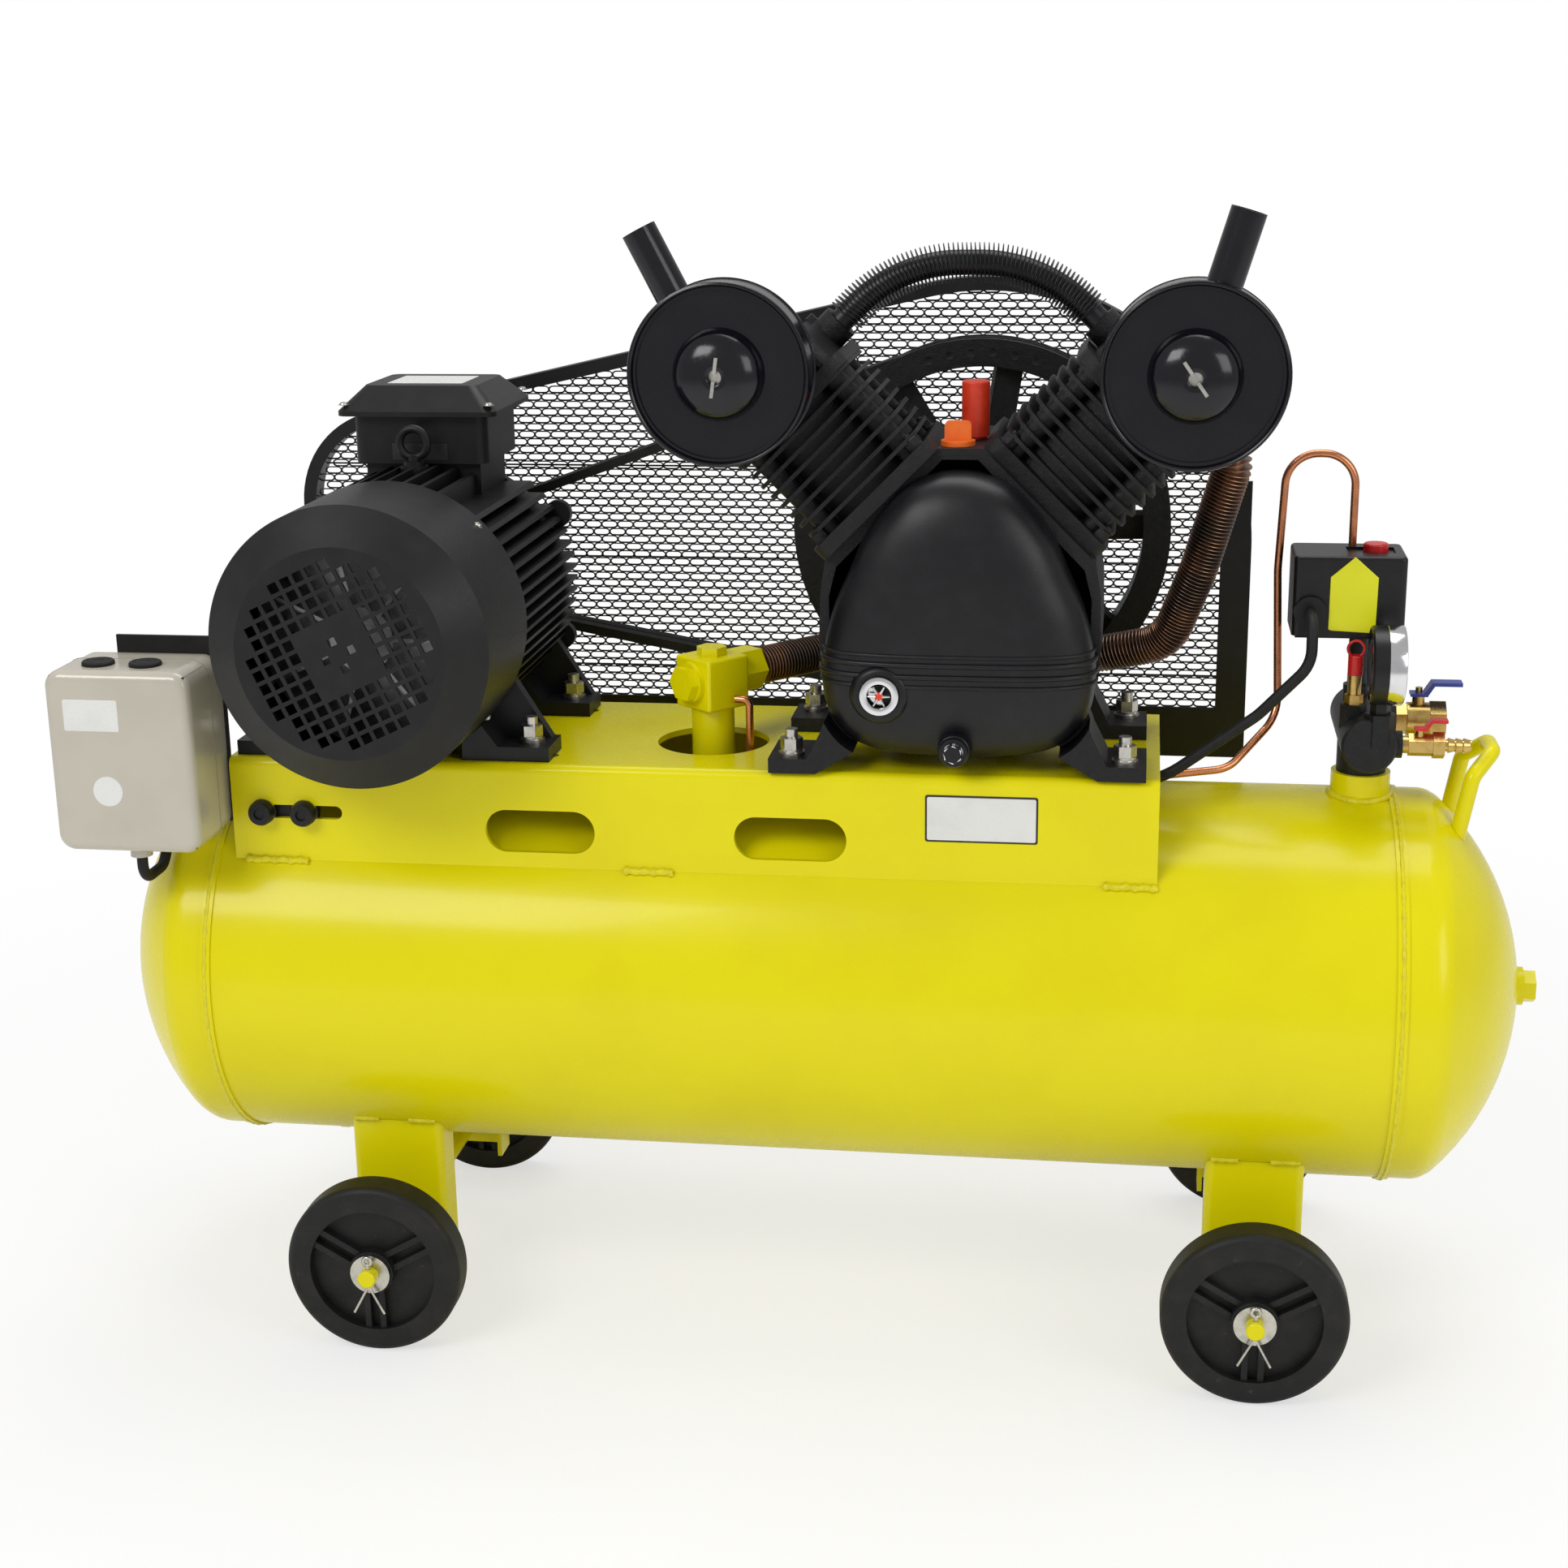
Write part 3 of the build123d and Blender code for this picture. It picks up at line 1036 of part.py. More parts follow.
def switch_cable():
    gx, gz = SWITCH_X[0] + 14.0, SWITCH_Z[0] + 22.0
    sx = GLAND_AT[0]
    sy = GLAND_AT[1]
    low = STARTER_Z[0] - 31.0
    pts = [(gx, SWITCH_Y[0] - 5.0, gz), (gx, -54.0, gz), (gx, -60.0, 582.0), (372.0, -60.0, 540.0),
           (298.0, -56.0, 484.0), (230.0, -62.0, 477.0), (-440.0, -62.0, 477.0), (-500.0, -76.0, 468.0),
           (sx, -92.0, 440.0), (sx, -122.0, low), (sx, sy, low), (sx, sy, STARTER_Z[0] - 0.1)]
    radii = [16.0, 30.0, 60.0, 60.0, 40.0, 60.0, 30.0, 18.0, 16.0, 14.0]
    tube, length = tube_along(pts, radii, CABLE_R)
    return only(tube), length, radii


# ================================================================= outlet end
def manifold():
    top = TANK_AXIS_Z + TANK_R + 20.0
    body = rod(MANI_R, (OUT_X, MANI_Y0, MANI_Z), (OUT_X, MANI_Y1, MANI_Z))
    body = chamfer(body.edges(), 2.0)
    body += rod(20.0, (OUT_X, 0, top), (OUT_X, 0, MANI_Z))
    body += rod(16.9, (OUT_X, 0, top - 14.0), (OUT_X, 0, top))
    lift = MANI_Z + MANI_R
    body += hexbar(22.0, (OUT_X + 8.0, GAUGE_Y, MANI_Z), (OUT_X + 8.0, GAUGE_Y, lift + 4.0))
    body += hexbar(18.0, (SAFETY_AT[0], SAFETY_AT[1], MANI_Z), (SAFETY_AT[0], SAFETY_AT[1], lift + 5.0))
    body += rod(11.0, (OUT_X - 4.0, 30.0, MANI_Z), (OUT_X - 4.0, 30.0, lift + 8.0))
    body += rod(8.0, (OUT_X - 4.0, 30.0, lift), (OUT_X - 4.0, 30.0, SWITCH_Z[0]))
    for y, z, r in ((-42.0, MANI_Z - 2.0, 11.0), (18.0, MANI_Z + 4.0, 14.0)):
        body += rod(r, (OUT_X, y, z), (OUT_X + MANI_R + 5.0, y, z))
    return only(body)


def switch_base():
    x, y, z = SWITCH_X, SWITCH_Y, SWITCH_Z
    body = block((x[0] + 3, x[1] - 3), (y[0] + 3, y[1] - 3), (z[0], z[0] + 10.0))
    body += block((OUT_X - 30, OUT_X + 20), (14.0, 42.0), (z[0] + 9.0, z[0] + 44.0))
    return only(body)


def switch_cover():
    x, y, z = SWITCH_X, SWITCH_Y, SWITCH_Z
    body = block(x, y, (z[0] + 2.0, z[1]))
    body = fillet(body.edges().filter_by(Axis.Z), 5.0)
    body = fillet(body.edges().group_by(Axis.Z)[-1], 3.0)
    body -= block((x[0] + 3, x[1] - 3), (y[0] + 3, y[1] - 3), (z[0] - 1, z[1] - 3.5))
    body -= block((OUT_X - 19, OUT_X + 19), (y[0] + 20, y[0] + 46), (z[1] - 2, z[1] + 1))
    body -= rod(KNOB_R + KNOB_FIT, (OUT_X + 4.0, y[0] + 33.0, z[1] - 6), (OUT_X + 4.0, y[0] + 33.0,
            z[1] + 1))
    gx, gz = x[0] + 14.0, z[0] + 22.0
    body += rod(13.0, (gx, y[0] - 5.0, gz), (gx, y[0] + 1.0, gz))
    return only(body)


def switch_knob():
    z = SWITCH_Z[1]
    y = SWITCH_Y[0] + 33.0
    x = OUT_X + 4.0
    body = rod(KNOB_R, (x, y, z - 12.0), (x, y, z + 6.0))
    body = fillet(body.edges().group_by(Axis.Z)[-1], 2.0)
    return only(body)


def gauge_case():
    x0 = OUT_X - 2.0
    x1 = x0 + GAUGE_T
    body = rod(GAUGE_R, (x0, GAUGE_Y, GAUGE_Z), (x1, GAUGE_Y, GAUGE_Z))
    body = chamfer(body.edges(), 1.5)
    body -= rod(GAUGE_R - 3.0, (x0 - 1, GAUGE_Y, GAUGE_Z), (x0 + 10.0, GAUGE_Y, GAUGE_Z))
    body += hexbar(14.0, (OUT_X + 8.0, GAUGE_Y, MANI_Z + MANI_R + 4.0), (OUT_X + 8.0, GAUGE_Y,
            GAUGE_Z - 29.5))
    return only(body)


def gauge_dial():
    x0 = OUT_X - 2.0
    return only(ring(GAUGE_R - 3.0, 1.6, (x0 + 8.0, GAUGE_Y, GAUGE_Z), (x0 + 10.0, GAUGE_Y, GAUGE_Z)))


def gauge_pointer():
    x0 = OUT_X - 2.0
    body = rod(1.4, (x0 + 4.6, GAUGE_Y, GAUGE_Z), (x0 + 9.5, GAUGE_Y, GAUGE_Z))
    body += rod(3.0, (x0 + 4.6, GAUGE_Y, GAUGE_Z), (x0 + 6.2, GAUGE_Y, GAUGE_Z))
    needle = Pos(x0 + 5.4, GAUGE_Y, GAUGE_Z) * Rot(45, 0, 0) * Pos(0, 0, -8.0) * Box(0.8, 1.8, 30.0)
    return only(body + needle)


def gauge_lens():
    x0 = OUT_X - 2.0
    return only(rod(GAUGE_R - 3.0, (x0 + 1.0, GAUGE_Y, GAUGE_Z), (x0 + 3.4, GAUGE_Y, GAUGE_Z)))


def safety_valve():
    x, y = SAFETY_AT
    z = MANI_Z + MANI_R + 5.0
    body = hexbar(13.0, (x, y, z), (x, y, z + 8.0))
    body += rod(5.4, (x, y, z + 8.0), (x, y, z + 24.0))
    return only(body)


def safety_ring():
    x, y = SAFETY_AT
    z = MANI_Z + MANI_R + 29.3
    body = rod(6.0, (x, y, z), (x, y, z + 16.0))
    body = fillet(body.edges().group_by(Axis.Z)[-1], 1.5)
    body += Pos(x, y, z + 21.0) * Rot(90, 0, 0) * Torus(6.5, 1.1)
    return only(body)


def ball_valve():
    y = 18.0
    z = MANI_Z + 4.0
    x = OUT_X + MANI_R + 5.0
    body = hexbar(22.0, (x, y, z), (x + 9.0, y, z))
    body += rod(14.0, (x + 9.0, y, z), (x + 27.0, y, z))
    body += hexbar(27.0, (x + 27.0, y, z), (x + 40.0, y, z))
    body -= rod(OUTLET_R, (x + 40.0 - OUTLET_DEPTH, y, z), (x + 41.0, y, z))
    body += Pos(x + 18.0, y, z) * Sphere(13.5)
    body += rod(5.0, (x + 18.0, y, z + 10), (x + 18.0, y, z + 20.0))
    body += rod(2.8, (x + 18.0, y, z + 19), (x + 18.0, y, z + 27.0))
    return only(body)


def ball_lever():
    y = 18.0
    z = MANI_Z + 4.0 + 20.3
    x = OUT_X + MANI_R + 5.0 + 18.0
    body = block((x - 7.0, x + 7.0), (y - 7.0, y + 7.0), (z, z + 2.5))
    arm = [(x + 4.0, z), (x + 4.0, z + 2.5), (x + 10.0, z + 12.0), (x + 34.0, z + 12.0), (x + 34.0,
            z + 9.0),
           (x + 12.0, z + 9.0), (x + 6.5, z)]
    body += xz_prism(arm, y - 7.0, y + 7.0)
    body -= rod(2.9, (x, y, z - 1), (x, y, z + 5))
    return only(body)


def hose_cock():
    y = -42.0
    z = MANI_Z - 2.0
    x = OUT_X + MANI_R + 5.0
    body = rod(7.0, (x, y, z), (x + 6.0, y, z))
    body += hexbar(16.0, (x + 5.0, y, z), (x + 24.0, y, z))
    body += hexbar(19.0, (x + 24.0, y, z), (x + 33.0, y, z))
    body += rod(4.8, (x + 33.0, y, z), (x + 54.0, y, z))
    for k in range(3):
        s = x + 36.0 + 6.0 * k
        body += Pos(s + 2.5, y, z) * Rot(0, 90, 0) * Cone(6.2, 4.8, 5.0)
    body += rod(3.4, (x + 14.0, y, z + 6), (x + 14.0, y, z + 12.0))
    return only(body)


def cock_lever():
    y = -42.0
    z = MANI_Z - 2.0 + 12.3
    x = OUT_X + MANI_R + 5.0 + 14.0
    body = block((x - 4.5, x + 4.5), (y - 4.5, y + 4.5), (z, z + 2.2))
    arm = [(x + 3.0, z), (x + 3.0, z + 2.2), (x + 8.0, z + 9.0), (x + 21.0, z + 9.0), (x + 21.0, z + 6.6),
           (x + 9.0, z + 6.6), (x + 5.0, z)]
    body += xz_prism(arm, y - 4.5, y + 4.5)
    return only(body)


# ================================================================= starter
def starter_base():
    body = block((STARTER_X[0] + 1, STARTER_X[1] - 1), (STARTER_SPLIT, STARTER_Y1), (STARTER_Z[0] + 1,
            STARTER_Z[1] - 1))
    body = fillet(body.edges().filter_by(Axis.Y), 14.0)
    body -= block((STARTER_X[0] + 5, STARTER_X[1] - 5), (STARTER_SPLIT - 1, STARTER_Y1 - 4),
                  (STARTER_Z[0] + 6, STARTER_Z[1] - 6))
    contactor = block((-560.0, -505.0), (STARTER_Y1 - 30.0, STARTER_Y1 - 4.0), (480.0, 550.0))
    return Compound([only(body), only(contactor)])


def starter_cover():
    body = block(STARTER_X, (STARTER_Y0, STARTER_SPLIT), STARTER_Z)
    body = fillet(body.edges().filter_by(Axis.Y), 14.0)
    body = fillet(body.edges().group_by(Axis.Y)[0], 8.0)
    body -= block((STARTER_X[0] + 4, STARTER_X[1] - 4), (STARTER_Y0 + 4, STARTER_SPLIT + 1),
                  (STARTER_Z[0] + 4, STARTER_Z[1] - 4))
    gland = ring(9.0, CABLE_R, (*GLAND_AT, STARTER_Z[0] - 9.0), (*GLAND_AT, STARTER_Z[0]))
    grommets = [only(gland)]
    for x in (-556.0, -516.0):
        y = STARTER_Y0 + 28.0
        z = STARTER_Z[1]
        body -= rod(10.0, (x, y, z - 6), (x, y, z + 3))
        grommets.append(only(rod(9.9, (x, y, z - 5.0), (x, y, z)) + rod(12.5, (x, y, z), (x, y, z + 2.5))))
    return Compound([only(body)] + grommets)


def starter_bracket():
    y0 = PLATE_FRONT + PLATE_T
    body = block((-560.0, -396.0), (y0, y0 + 3.0), (442.0, 600.0))
    body -= block((-469.5, -395.0), (y0 - 1, y0 + 4), (PLATE_TOP - PLATE_T - 1.0, 601.0))
    for x in (-442.0, -406.0):
        body -= rod(BOLT_R, (x, y0 - 5, 453.0), (x, y0 + 8, 453.0))
    return only(body)


def build_all():
    cut = tank_cut()
    PARTS["tank"] = tank()
    PARTS["tank_fittings"] = tank_fittings(cut)
    PARTS["base_plate"] = base_plate(cut)
    PARTS["legs"] = legs(cut)
    PARTS["axles"] = axles()
    for i, x in enumerate(WHEEL_X):
        for s in (-1, 1):
            name = "wheel_" + ("front" if s < 0 else "rear") + "_" + ("left" if i == 0 else "right")
            PARTS[name] = wheel(x, s)
    PARTS["axle_keepers"] = axle_keepers()
    PARTS["handles"] = handles(cut)
    PARTS["crankcase"] = crankcase()
    PARTS["crank_cover"] = crank_cover()
    PARTS["oil_fittings"] = oil_fittings()
    PARTS["filler_plug"] = filler_plug()
    PARTS["breather"] = breather()
    for side in ("left", "right"):
        PARTS["cylinder_" + side] = cylinder(side)
        PARTS["head_" + side] = head(side)
        PARTS["piston_" + side] = piston(side)
        PARTS["con_rod_" + side] = con_rod(side)
        PARTS["air_filter_" + side] = air_filter(side)
    PARTS["crankshaft"] = crankshaft()
    PARTS["flywheel"] = flywheel()
    PARTS["motor_frame"] = motor_frame()
    PARTS["fan_cover"] = fan_cover()
    PARTS["terminal_box"] = terminal_box()
    PARTS["motor_rotor"] = motor_rotor()
    PARTS["motor_pulley"] = motor_pulley()
    PARTS["drive_belts"] = drive_belts()
    PARTS["guard_frame"] = guard_frame()
    PARTS["guard_mesh"] = guard_mesh()
    PARTS["mount_bolts"] = mount_bolts()
    PARTS["crossover_pipe"], over_len = crossover_pipe()
    PARTS["delivery_pipe"], deliv_len = delivery_pipe()
    PARTS["check_valve"] = check_valve()
    PARTS["unloader_tube"], tube_len, tube_radii = unloader_tube()
    PARTS["switch_cable"], cable_len, cable_radii = switch_cable()
    PARTS["manifold"] = manifold()
    PARTS["switch_base"] = switch_base()
    PARTS["switch_cover"] = switch_cover()
    PARTS["switch_knob"] = switch_knob()
    PARTS["gauge_case"] = gauge_case()
    PARTS["gauge_dial"] = gauge_dial()
    PARTS["gauge_pointer"] = gauge_pointer()
    PARTS["gauge_lens"] = gauge_lens()
    PARTS["safety_valve"] = safety_valve()
    PARTS["safety_ring"] = safety_ring()
    PARTS["ball_valve"] = ball_valve()
    PARTS["ball_lever"] = ball_lever()
    PARTS["hose_cock"] = hose_cock()
    PARTS["cock_lever"] = cock_lever()
    PARTS["starter_base"] = starter_base()
    PARTS["starter_cover"] = starter_cover()
    PARTS["starter_bracket"] = starter_bracket()
    print("crossover", over_len, "delivery", deliv_len)
    print("unloader tube", tube_len, "arc radii", tube_radii)
    print("switch cable", cable_len, "arc radii", cable_radii)
    for name, r, length in (("unloader_tube", COPPER_R, tube_len), ("switch_cable", CABLE_R, cable_len)):
        print(name, "volume over section x length", PARTS[name].volume / (math.pi * r * r * length))


build_all()
boxes = [s.bounding_box() for s in PARTS.values()]
low = [min(tuple(b.min)[k] for b in boxes) for k in range(3)]
high = [max(tuple(b.max)[k] for b in boxes) for k in range(3)]
SHIFT = (-(low[0] + high[0]) / 2.0, -(low[1] + high[1]) / 2.0, -low[2])
print("shift", SHIFT)
os.makedirs("parts", exist_ok=True)
for name, shape in PARTS.items():
    export_step(shape.moved(Location(SHIFT)), "parts/" + name + ".step")
print(len(PARTS), "nodes", "size", [high[k] - low[k] for k in range(3)])
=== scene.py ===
import json
import math
import bpy
import bmesh
from mathutils import Matrix, Vector


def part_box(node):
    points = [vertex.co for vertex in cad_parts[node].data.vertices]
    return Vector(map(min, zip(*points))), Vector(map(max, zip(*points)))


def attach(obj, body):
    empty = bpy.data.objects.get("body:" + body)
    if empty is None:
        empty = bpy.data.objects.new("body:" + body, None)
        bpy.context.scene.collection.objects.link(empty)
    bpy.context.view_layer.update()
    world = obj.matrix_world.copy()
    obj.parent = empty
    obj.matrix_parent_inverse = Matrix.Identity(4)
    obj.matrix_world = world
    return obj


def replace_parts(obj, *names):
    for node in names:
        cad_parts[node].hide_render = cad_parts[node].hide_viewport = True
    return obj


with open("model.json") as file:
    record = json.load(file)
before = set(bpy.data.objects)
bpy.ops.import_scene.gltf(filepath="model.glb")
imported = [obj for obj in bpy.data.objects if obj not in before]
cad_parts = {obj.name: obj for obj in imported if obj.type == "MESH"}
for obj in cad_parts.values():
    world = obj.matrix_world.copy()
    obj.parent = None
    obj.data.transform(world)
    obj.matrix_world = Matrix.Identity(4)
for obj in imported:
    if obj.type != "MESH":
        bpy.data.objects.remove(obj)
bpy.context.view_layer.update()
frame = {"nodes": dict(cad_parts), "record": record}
NODES = frame["nodes"]
RECORD = frame["record"]
BASE = "base"

# Places below are in millimetres from the tank's centre line; SHIFT moves them to the object's own frame.
SHIFT = Vector((-8.0, -3.0, 0.0))


def at(x, y, z):
    return (Vector((x, y, z)) + SHIFT) / 1000.0


def mm(v):
    return v / 1000.0


# ------------------------------------------------------------------ materials
def finish(name, colour, second, rough, metal=0.0, scale=60.0, fine=900.0, bump=0.15, depth=0.0002,
           spread=(0.45, 0.75), rough_step=0.12, coat=0.0, glass=0.0, detail=4.0, spec=0.5, dust=None,
           dust_at=(0.62, 0.8)):
    """Procedural finish: a broad tone change, a fine grain that sets roughness, and a bump of both."""
    m = bpy.data.materials.new(name)
    m.use_nodes = True
    nt = m.node_tree
    p = nt.nodes["Principled BSDF"]
    co = nt.nodes.new("ShaderNodeTexCoord")
    broad = nt.nodes.new("ShaderNodeTexNoise")
    broad.inputs["Scale"].default_value = scale
    broad.inputs["Detail"].default_value = detail
    small = nt.nodes.new("ShaderNodeTexNoise")
    small.inputs["Scale"].default_value = fine
    small.inputs["Detail"].default_value = 3.0
    nt.links.new(co.outputs["Object"], broad.inputs["Vector"])
    nt.links.new(co.outputs["Object"], small.inputs["Vector"])
    step = nt.nodes.new("ShaderNodeMapRange")
    step.inputs["From Min"].default_value = spread[0]
    step.inputs["From Max"].default_value = spread[1]
    nt.links.new(broad.outputs["Fac"], step.inputs["Value"])
    tone = nt.nodes.new("ShaderNodeMix")
    tone.data_type = "RGBA"
    tone.inputs["A"].default_value = (*colour, 1.0)
    tone.inputs["B"].default_value = (*second, 1.0)
    nt.links.new(step.outputs["Result"], tone.inputs["Factor"])
    last = tone.outputs["Result"]
    if dust:
        dirt = nt.nodes.new("ShaderNodeTexNoise")
        dirt.inputs["Scale"].default_value = scale * 2.3
        dirt.inputs["Detail"].default_value = 8.0
        dirt.inputs["Roughness"].default_value = 0.7
        nt.links.new(co.outputs["Object"], dirt.inputs["Vector"])
        cut = nt.nodes.new("ShaderNodeMapRange")
        cut.inputs["From Min"].default_value = dust_at[0]
        cut.inputs["From Max"].default_value = dust_at[1]
        nt.links.new(dirt.outputs["Fac"], cut.inputs["Value"])
        over = nt.nodes.new("ShaderNodeMix")
        over.data_type = "RGBA"
        over.inputs["B"].default_value = (*dust, 1.0)
        nt.links.new(cut.outputs["Result"], over.inputs["Factor"])
        nt.links.new(last, over.inputs["A"])
        last = over.outputs["Result"]
    nt.links.new(last, p.inputs["Base Color"])
    shine = nt.nodes.new("ShaderNodeMapRange")
    shine.inputs["To Min"].default_value = max(0.02, rough - rough_step)
    shine.inputs["To Max"].default_value = min(1.0, rough + rough_step)
    nt.links.new(small.outputs["Fac"], shine.inputs["Value"])
    nt.links.new(shine.outputs["Result"], p.inputs["Roughness"])
    both = nt.nodes.new("ShaderNodeMath")
    both.operation = "ADD"
    nt.links.new(broad.outputs["Fac"], both.inputs[0])
    nt.links.new(small.outputs["Fac"], both.inputs[1])
    rise = nt.nodes.new("ShaderNodeBump")
    rise.inputs["Strength"].default_value = bump
    rise.inputs["Distance"].default_value = depth
    nt.links.new(both.outputs["Value"], rise.inputs["Height"])
    nt.links.new(rise.outputs["Normal"], p.inputs["Normal"])
    p.inputs["Metallic"].default_value = metal
    p.inputs["Specular IOR Level"].default_value = spec
    p.inputs["Coat Weight"].default_value = coat
    p.inputs["Coat Roughness"].default_value = 0.08
    p.inputs["Transmission Weight"].default_value = glass
    return m


YELLOW = finish("yellow_enamel", (0.76, 0.68, 0.001), (0.72, 0.63, 0.001), 0.24, scale=9.0, fine=420.0,
                bump=0.10, depth=0.0003, coat=0.08, spec=0.22, dust=(0.56, 0.50, 0.02), dust_at=(0.72, 0.9))
CAST = finish("black_casting", (0.0045, 0.0045, 0.0055), (0.008, 0.008, 0.010), 0.40, scale=170.0,
              fine=1100.0,
              bump=0.6, depth=0.0010, spec=0.32, dust=(0.022, 0.022, 0.024), dust_at=(0.66, 0.9))
SMOOTHCAST = finish("black_smooth_cover", (0.005, 0.005, 0.0065), (0.008, 0.008, 0.010), 0.38, scale=70.0,
                    fine=1300.0, bump=0.16, depth=0.0004, spec=0.34, dust=(0.018, 0.018, 0.02),
                    dust_at=(0.7, 0.9))
GLOSS = finish("black_gloss_sheet", (0.003, 0.003, 0.0055), (0.005, 0.005, 0.008), 0.17, scale=30.0,
               fine=500.0,
               bump=0.08, depth=0.0002, spec=0.42, dust=(0.016, 0.016, 0.018), dust_at=(0.72, 0.9))
BLACKSHEET = finish("black_sheet", (0.008, 0.008, 0.0085), (0.012, 0.012, 0.012), 0.42, scale=50.0,
                    fine=700.0,
                    bump=0.18, spec=0.3, dust=(0.03, 0.03, 0.026), dust_at=(0.70, 0.9))
WHEEL = finish("moulded_wheel", (0.009, 0.009, 0.009), (0.018, 0.017, 0.016), 0.50, scale=45.0, fine=800.0,
               bump=0.35, depth=0.0006, spec=0.3, dust=(0.10, 0.09, 0.075), dust_at=(0.64, 0.9))
PLASTIC = finish("black_plastic", (0.006, 0.006, 0.007), (0.010, 0.010, 0.011), 0.34, scale=80.0, fine=1200.0,
                 bump=0.2, spec=0.35, dust=(0.05, 0.05, 0.05), dust_at=(0.72, 0.9))
RUBBER = finish("black_rubber", (0.007, 0.007, 0.007), (0.013, 0.013, 0.013), 0.60, scale=60.0, fine=900.0,
                bump=0.25, spec=0.3, dust=(0.08, 0.075, 0.07), dust_at=(0.66, 0.88))
ZINC = finish("zinc_plate", (0.62, 0.60, 0.55), (0.42, 0.41, 0.38), 0.30, metal=1.0, scale=120.0, fine=900.0,
              bump=0.2, dust=(0.25, 0.22, 0.18), dust_at=(0.64, 0.85))
STEEL = finish("machined_steel", (0.50, 0.50, 0.50), (0.38, 0.38, 0.38), 0.34, metal=1.0, scale=90.0,
               fine=1400.0,
               bump=0.15)
ALLOY = finish("turned_alloy", (0.68, 0.68, 0.68), (0.58, 0.58, 0.59), 0.3, metal=1.0, scale=90.0,
               fine=1400.0)
CHROME = finish("chrome", (0.75, 0.75, 0.76), (0.66, 0.66, 0.68), 0.14, metal=1.0, scale=60.0, fine=600.0,
                bump=0.05, rough_step=0.06)
BRASS = finish("cast_brass", (0.62, 0.43, 0.14), (0.46, 0.30, 0.09), 0.30, metal=1.0, scale=130.0, fine=900.0,
               bump=0.25, dust=(0.20, 0.13, 0.05), dust_at=(0.62, 0.85))
COPPER = finish("bare_copper", (0.62, 0.25, 0.12), (0.42, 0.16, 0.08), 0.28, metal=1.0, scale=70.0,
                fine=700.0,
                bump=0.12, dust=(0.18, 0.08, 0.05), dust_at=(0.62, 0.85))
PIPEFIN = finish("finned_pipe", (0.022, 0.022, 0.025), (0.045, 0.043, 0.042), 0.36, metal=0.5, scale=60.0,
                 fine=900.0, bump=0.2, dust=(0.12, 0.09, 0.07), dust_at=(0.66, 0.85))
PIPEWARM = finish("finned_pipe_tarnished", (0.14, 0.10, 0.08), (0.34, 0.19, 0.12), 0.34, metal=0.8,
                  scale=26.0,
                  fine=900.0, bump=0.2, spread=(0.40, 0.62), dust=(0.42, 0.20, 0.09), dust_at=(0.55, 0.75))
ORANGE = finish("orange_moulding", (0.85, 0.16, 0.01), (0.75, 0.12, 0.01), 0.42, scale=90.0, fine=900.0)
RED = finish("red_moulding", (0.72, 0.045, 0.012), (0.58, 0.03, 0.01), 0.40, scale=90.0, fine=900.0)
REDGLOSS = finish("red_gloss", (0.62, 0.012, 0.012), (0.5, 0.01, 0.01), 0.28, scale=90.0, fine=900.0)
BLUE = finish("blue_vinyl", (0.03, 0.05, 0.30), (0.02, 0.04, 0.24), 0.35, scale=120.0, fine=900.0)
DIAL = finish("dial_white", (0.80, 0.80, 0.78), (0.74, 0.74, 0.72), 0.45, scale=70.0, fine=900.0, bump=0.05)
INK = finish("black_ink", (0.010, 0.010, 0.010), (0.018, 0.018, 0.018), 0.45, scale=90.0, fine=900.0)
LENS = finish("clear_window", (0.97, 0.98, 0.98), (0.94, 0.96, 0.96), 0.06, scale=30.0, fine=300.0, bump=0.02,
              rough_step=0.02, glass=1.0)
CREAM = finish("cream_moulding", (0.50, 0.465, 0.385), (0.46, 0.43, 0.35), 0.20, scale=20.0, fine=700.0,
               bump=0.10, coat=0.35, dust=(0.40, 0.37, 0.29), dust_at=(0.70, 0.88))
WELD = finish("painted_weld", (0.74, 0.66, 0.002), (0.62, 0.55, 0.006), 0.30, scale=260.0, fine=900.0,
              bump=0.5,
              depth=0.0012, coat=0.2, spec=0.4)

BY_SLOT = {
    "yellow_paint": YELLOW, "black_wheel": WHEEL, "zinc": ZINC, "black_casting": CAST, "black_sheet": GLOSS,
    "machined": STEEL, "piston_alloy": ALLOY, "bright_ring": CHROME, "orange_cap": ORANGE, "red_cap": RED,
    "belt_rubber": RUBBER, "finned_steel": PIPEFIN, "copper": COPPER, "cable": RUBBER,
    "black_plastic": PLASTIC, "red_plastic": REDGLOSS, "white_dial": DIAL, "black_needle": INK, "clear": LENS,
    "brass": BRASS, "blue_lever": BLUE, "cream_plastic": CREAM,
}
BY_NODE = {"fan_cover": BLACKSHEET, "terminal_box": BLACKSHEET, "guard_frame": BLACKSHEET,
           "starter_bracket": BLACKSHEET, "motor_frame": BLACKSHEET}
SLOT_OF = {s["node"]: s["material_slot"] for s in RECORD["subparts"]}


def paint(obj, material):
    obj.data.materials.clear()
    obj.data.materials.append(material)


for node_name, obj in NODES.items():
    paint(obj, BY_NODE.get(node_name, BY_SLOT[SLOT_OF[node_name]]))


